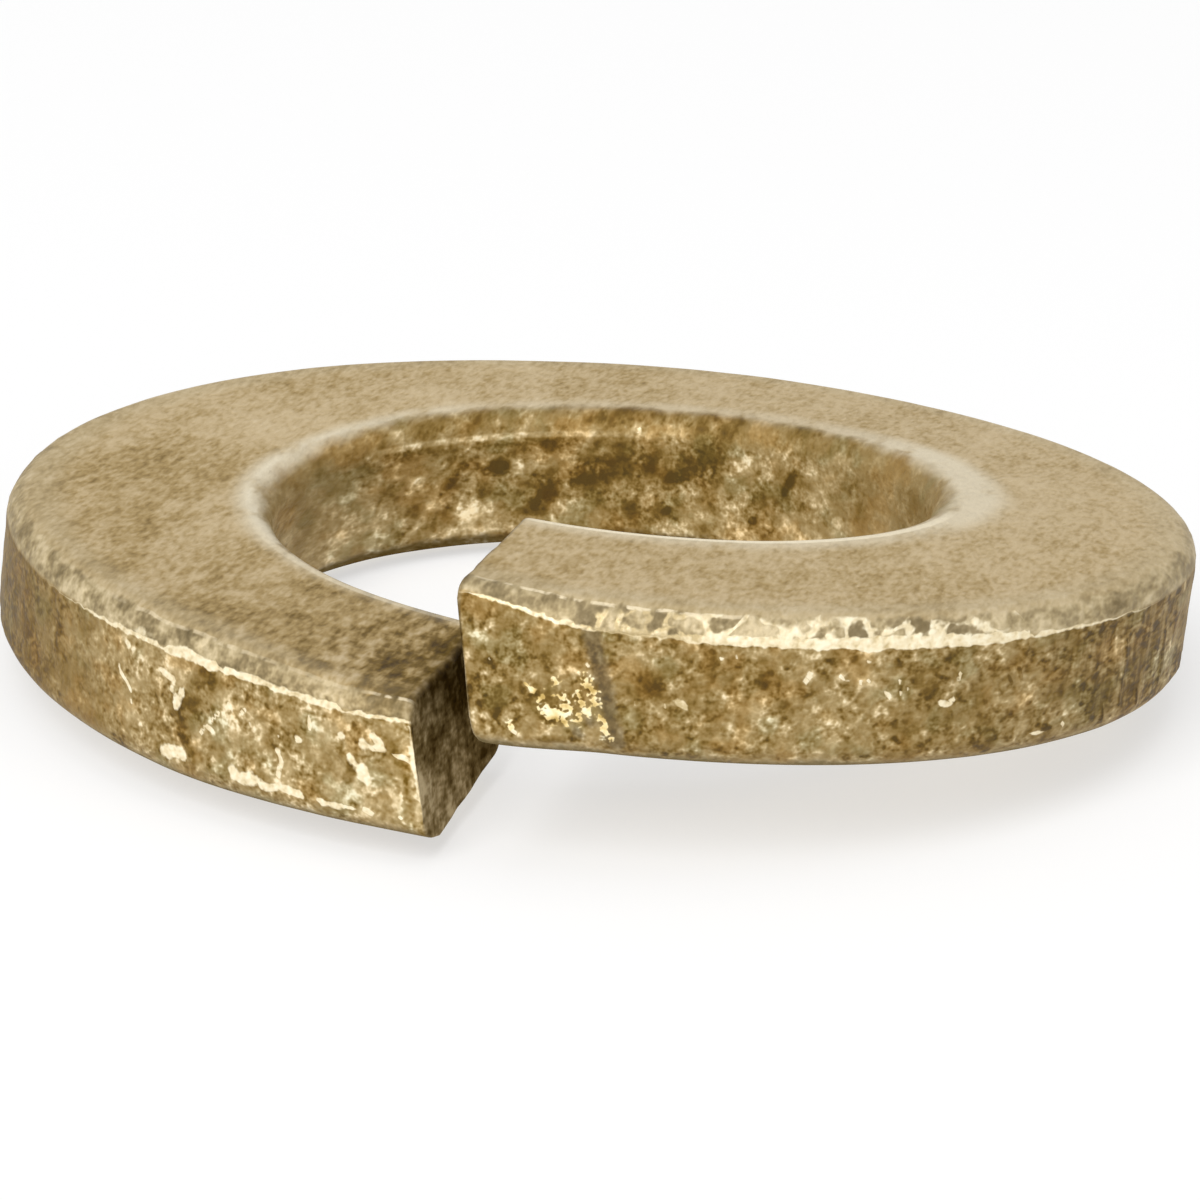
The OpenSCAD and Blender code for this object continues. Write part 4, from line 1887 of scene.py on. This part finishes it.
def outward(azimuth: float, elevation: float) -> Vector:
    """Direction from the washer out to a camera or lamp.

    Args:
        azimuth: Degrees round the bore axis, 0 in front of the split and growing to the right.
        elevation: Degrees above the level.

    Returns:
        A direction of length 1.
    """
    turn, tilt = np.radians(azimuth), np.radians(elevation)
    return Vector((np.sin(turn) * np.cos(tilt), -np.cos(turn) * np.cos(tilt), np.sin(tilt)))


@dataclass(frozen=True)
class Station:
    """Where the camera stands: looking at the split from a little to its right and above."""

    azimuth: float = 12.1
    elevation: float = 17.37
    distance: float = 52.77
    roll: float = 6.51
    aim_right: float = 0.175
    aim_up: float = 0.862
    lens: float = 151.48
    sensor: float = 36.0
    nearest: float = 1.0
    farthest: float = 2000.0

    def place(self) -> bpy.types.Object:
        """Sets up the camera.

        Returns:
            The camera.
        """
        turn, roll = np.radians(self.azimuth), np.radians(self.roll)
        back = outward(self.azimuth, self.elevation)
        right = Vector((np.cos(turn), np.sin(turn), 0))
        up = back.cross(right)
        rolled_right = float(np.cos(roll)) * right + float(np.sin(roll)) * up
        rolled_up = float(np.cos(roll)) * up - float(np.sin(roll)) * right
        eye = back * self.distance
        aim = self.aim_right * rolled_right + self.aim_up * rolled_up
        ahead = (aim - eye).normalized()
        side = ahead.cross(rolled_up).normalized()
        above = side.cross(ahead)
        camera = bpy.data.objects.new("camera", bpy.data.cameras.new("camera"))
        camera.matrix_world = Matrix((
            (side.x, above.x, -ahead.x, eye.x * METRES),
            (side.y, above.y, -ahead.y, eye.y * METRES),
            (side.z, above.z, -ahead.z, eye.z * METRES),
            (0, 0, 0, 1),
        ))
        camera.data.lens = self.lens
        camera.data.sensor_width = self.sensor
        camera.data.clip_start = self.nearest * METRES
        camera.data.clip_end = self.farthest * METRES
        bpy.context.scene.collection.objects.link(camera)
        bpy.context.scene.camera = camera
        return camera


@dataclass(frozen=True)
class Lamp:
    """A soft square light, aimed at the washer."""

    name: str
    azimuth: float
    elevation: float
    distance: float
    side: float
    watts: float
    colour: Colour = (1.0, 1.0, 1.0)

    def place(self) -> bpy.types.Object:
        """Hangs the lamp.

        Returns:
            The lamp.
        """
        back = outward(self.azimuth, self.elevation)
        data = bpy.data.lights.new(self.name, "AREA")
        data.size = self.side * METRES
        data.energy = self.watts
        data.color = self.colour
        lamp = bpy.data.objects.new(self.name, data)
        lamp.rotation_mode = "QUATERNION"
        lamp.rotation_quaternion = (-back).to_track_quat("-Z", "Y")
        lamp.location = back * self.distance * METRES
        bpy.context.scene.collection.objects.link(lamp)
        return lamp


@dataclass(frozen=True)
class Studio:
    """A plain pale floor in even white light, tilted to the plane that the sprung washer rests on."""

    floor_half: float = 500.0
    floor_slope: Place = (0.0541, 0.0640)
    floor_tone: Colour = (0.38, 0.38, 0.38)
    floor_glow: float = 0.58
    sky: float = 0.42
    lamps: tuple[Lamp, ...] = (
        Lamp("key", azimuth=-12.0, elevation=40.0, distance=400.0, side=240.0, watts=1.15),
        Lamp("fill", azimuth=48.0, elevation=24.0, distance=400.0, side=280.0, watts=0.15),
        Lamp("overhead", azimuth=10.0, elevation=82.0, distance=400.0, side=360.0, watts=0.45),
    )

    def light(self) -> None:
        """Sets the world's light, the lamps and the plain view of colour."""
        world = bpy.data.worlds.new("soft_white")
        world.use_nodes = True
        background = world.node_tree.nodes["Background"]
        background.inputs["Color"].default_value = (1.0, 1.0, 1.0, 1.0)
        background.inputs["Strength"].default_value = self.sky
        bpy.context.scene.world = world
        for lamp in self.lamps:
            lamp.place()
        bpy.context.scene.view_settings.view_transform = "Standard"

    def floor(self, washer: bpy.types.Object) -> bpy.types.Object:
        """Lays the floor so that it just touches the washer.

        Args:
            washer: The washer, which the floor lies under.

        Returns:
            The floor.
        """
        along, back = self.floor_slope
        points = np.array([vertex.co for vertex in washer.data.vertices])
        level = float((points[:, 2] - along * points[:, 0] - back * points[:, 1]).min())
        half = self.floor_half * METRES
        corners = [(x * half, y * half) for x, y in ((-1, -1), (1, -1), (1, 1), (-1, 1))]
        mesh = bpy.data.meshes.new("floor")
        mesh.from_pydata([(x, y, level + along * x + back * y) for x, y in corners], [], [(0, 1, 2, 3)])
        floor = bpy.data.objects.new("floor", mesh)
        bpy.context.scene.collection.objects.link(floor)
        floor.data.materials.append(self.floor_material())
        return floor

    def floor_material(self) -> bpy.types.Material:
        """Matt white that can be seen through from below, so that the underside can be looked at."""
        bench = NodeBench("pale_floor")
        matt = bench.node("ShaderNodeBsdfDiffuse")
        bench.join(self.floor_tone, matt.inputs["Color"])
        glow = bench.node("ShaderNodeEmission")
        glow.inputs["Strength"].default_value = self.floor_glow
        lit = bench.node("ShaderNodeAddShader")
        bench.join(matt.outputs[0], lit.inputs[0])
        bench.join(glow.outputs[0], lit.inputs[1])
        clear = bench.node("ShaderNodeBsdfTransparent")
        side = bench.node("ShaderNodeNewGeometry")
        both = bench.node("ShaderNodeMixShader")
        bench.join(side.outputs["Backfacing"], both.inputs[0])
        bench.join(lit.outputs[0], both.inputs[1])
        bench.join(clear.outputs[0], both.inputs[2])
        output = bench.node("ShaderNodeOutputMaterial")
        bench.join(both.outputs[0], output.inputs["Surface"])
        return bench.material


def main() -> None:
    """Builds the washer, its stage and the camera."""
    logging.basicConfig(level=logging.INFO, format="%(name)s: %(message)s")
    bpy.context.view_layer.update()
    coil = Coil.from_frame(frame)
    marks = low_end_marks() + high_end_marks() + right_marks() + bore_marks()
    maker = LockWasher(coil, Wear(coil, marks))
    washer = maker.build()
    maker.dress(washer, BronzeFinish())
    LOG.info("%s: %d points, %d faces", washer.name, len(washer.data.vertices), len(washer.data.polygons))
    studio = Studio()
    studio.light()
    LOG.info("stage: %s", studio.floor(washer).name)
    LOG.info("camera: %s", Station().place().name)


if __name__ == "__main__":
    main()
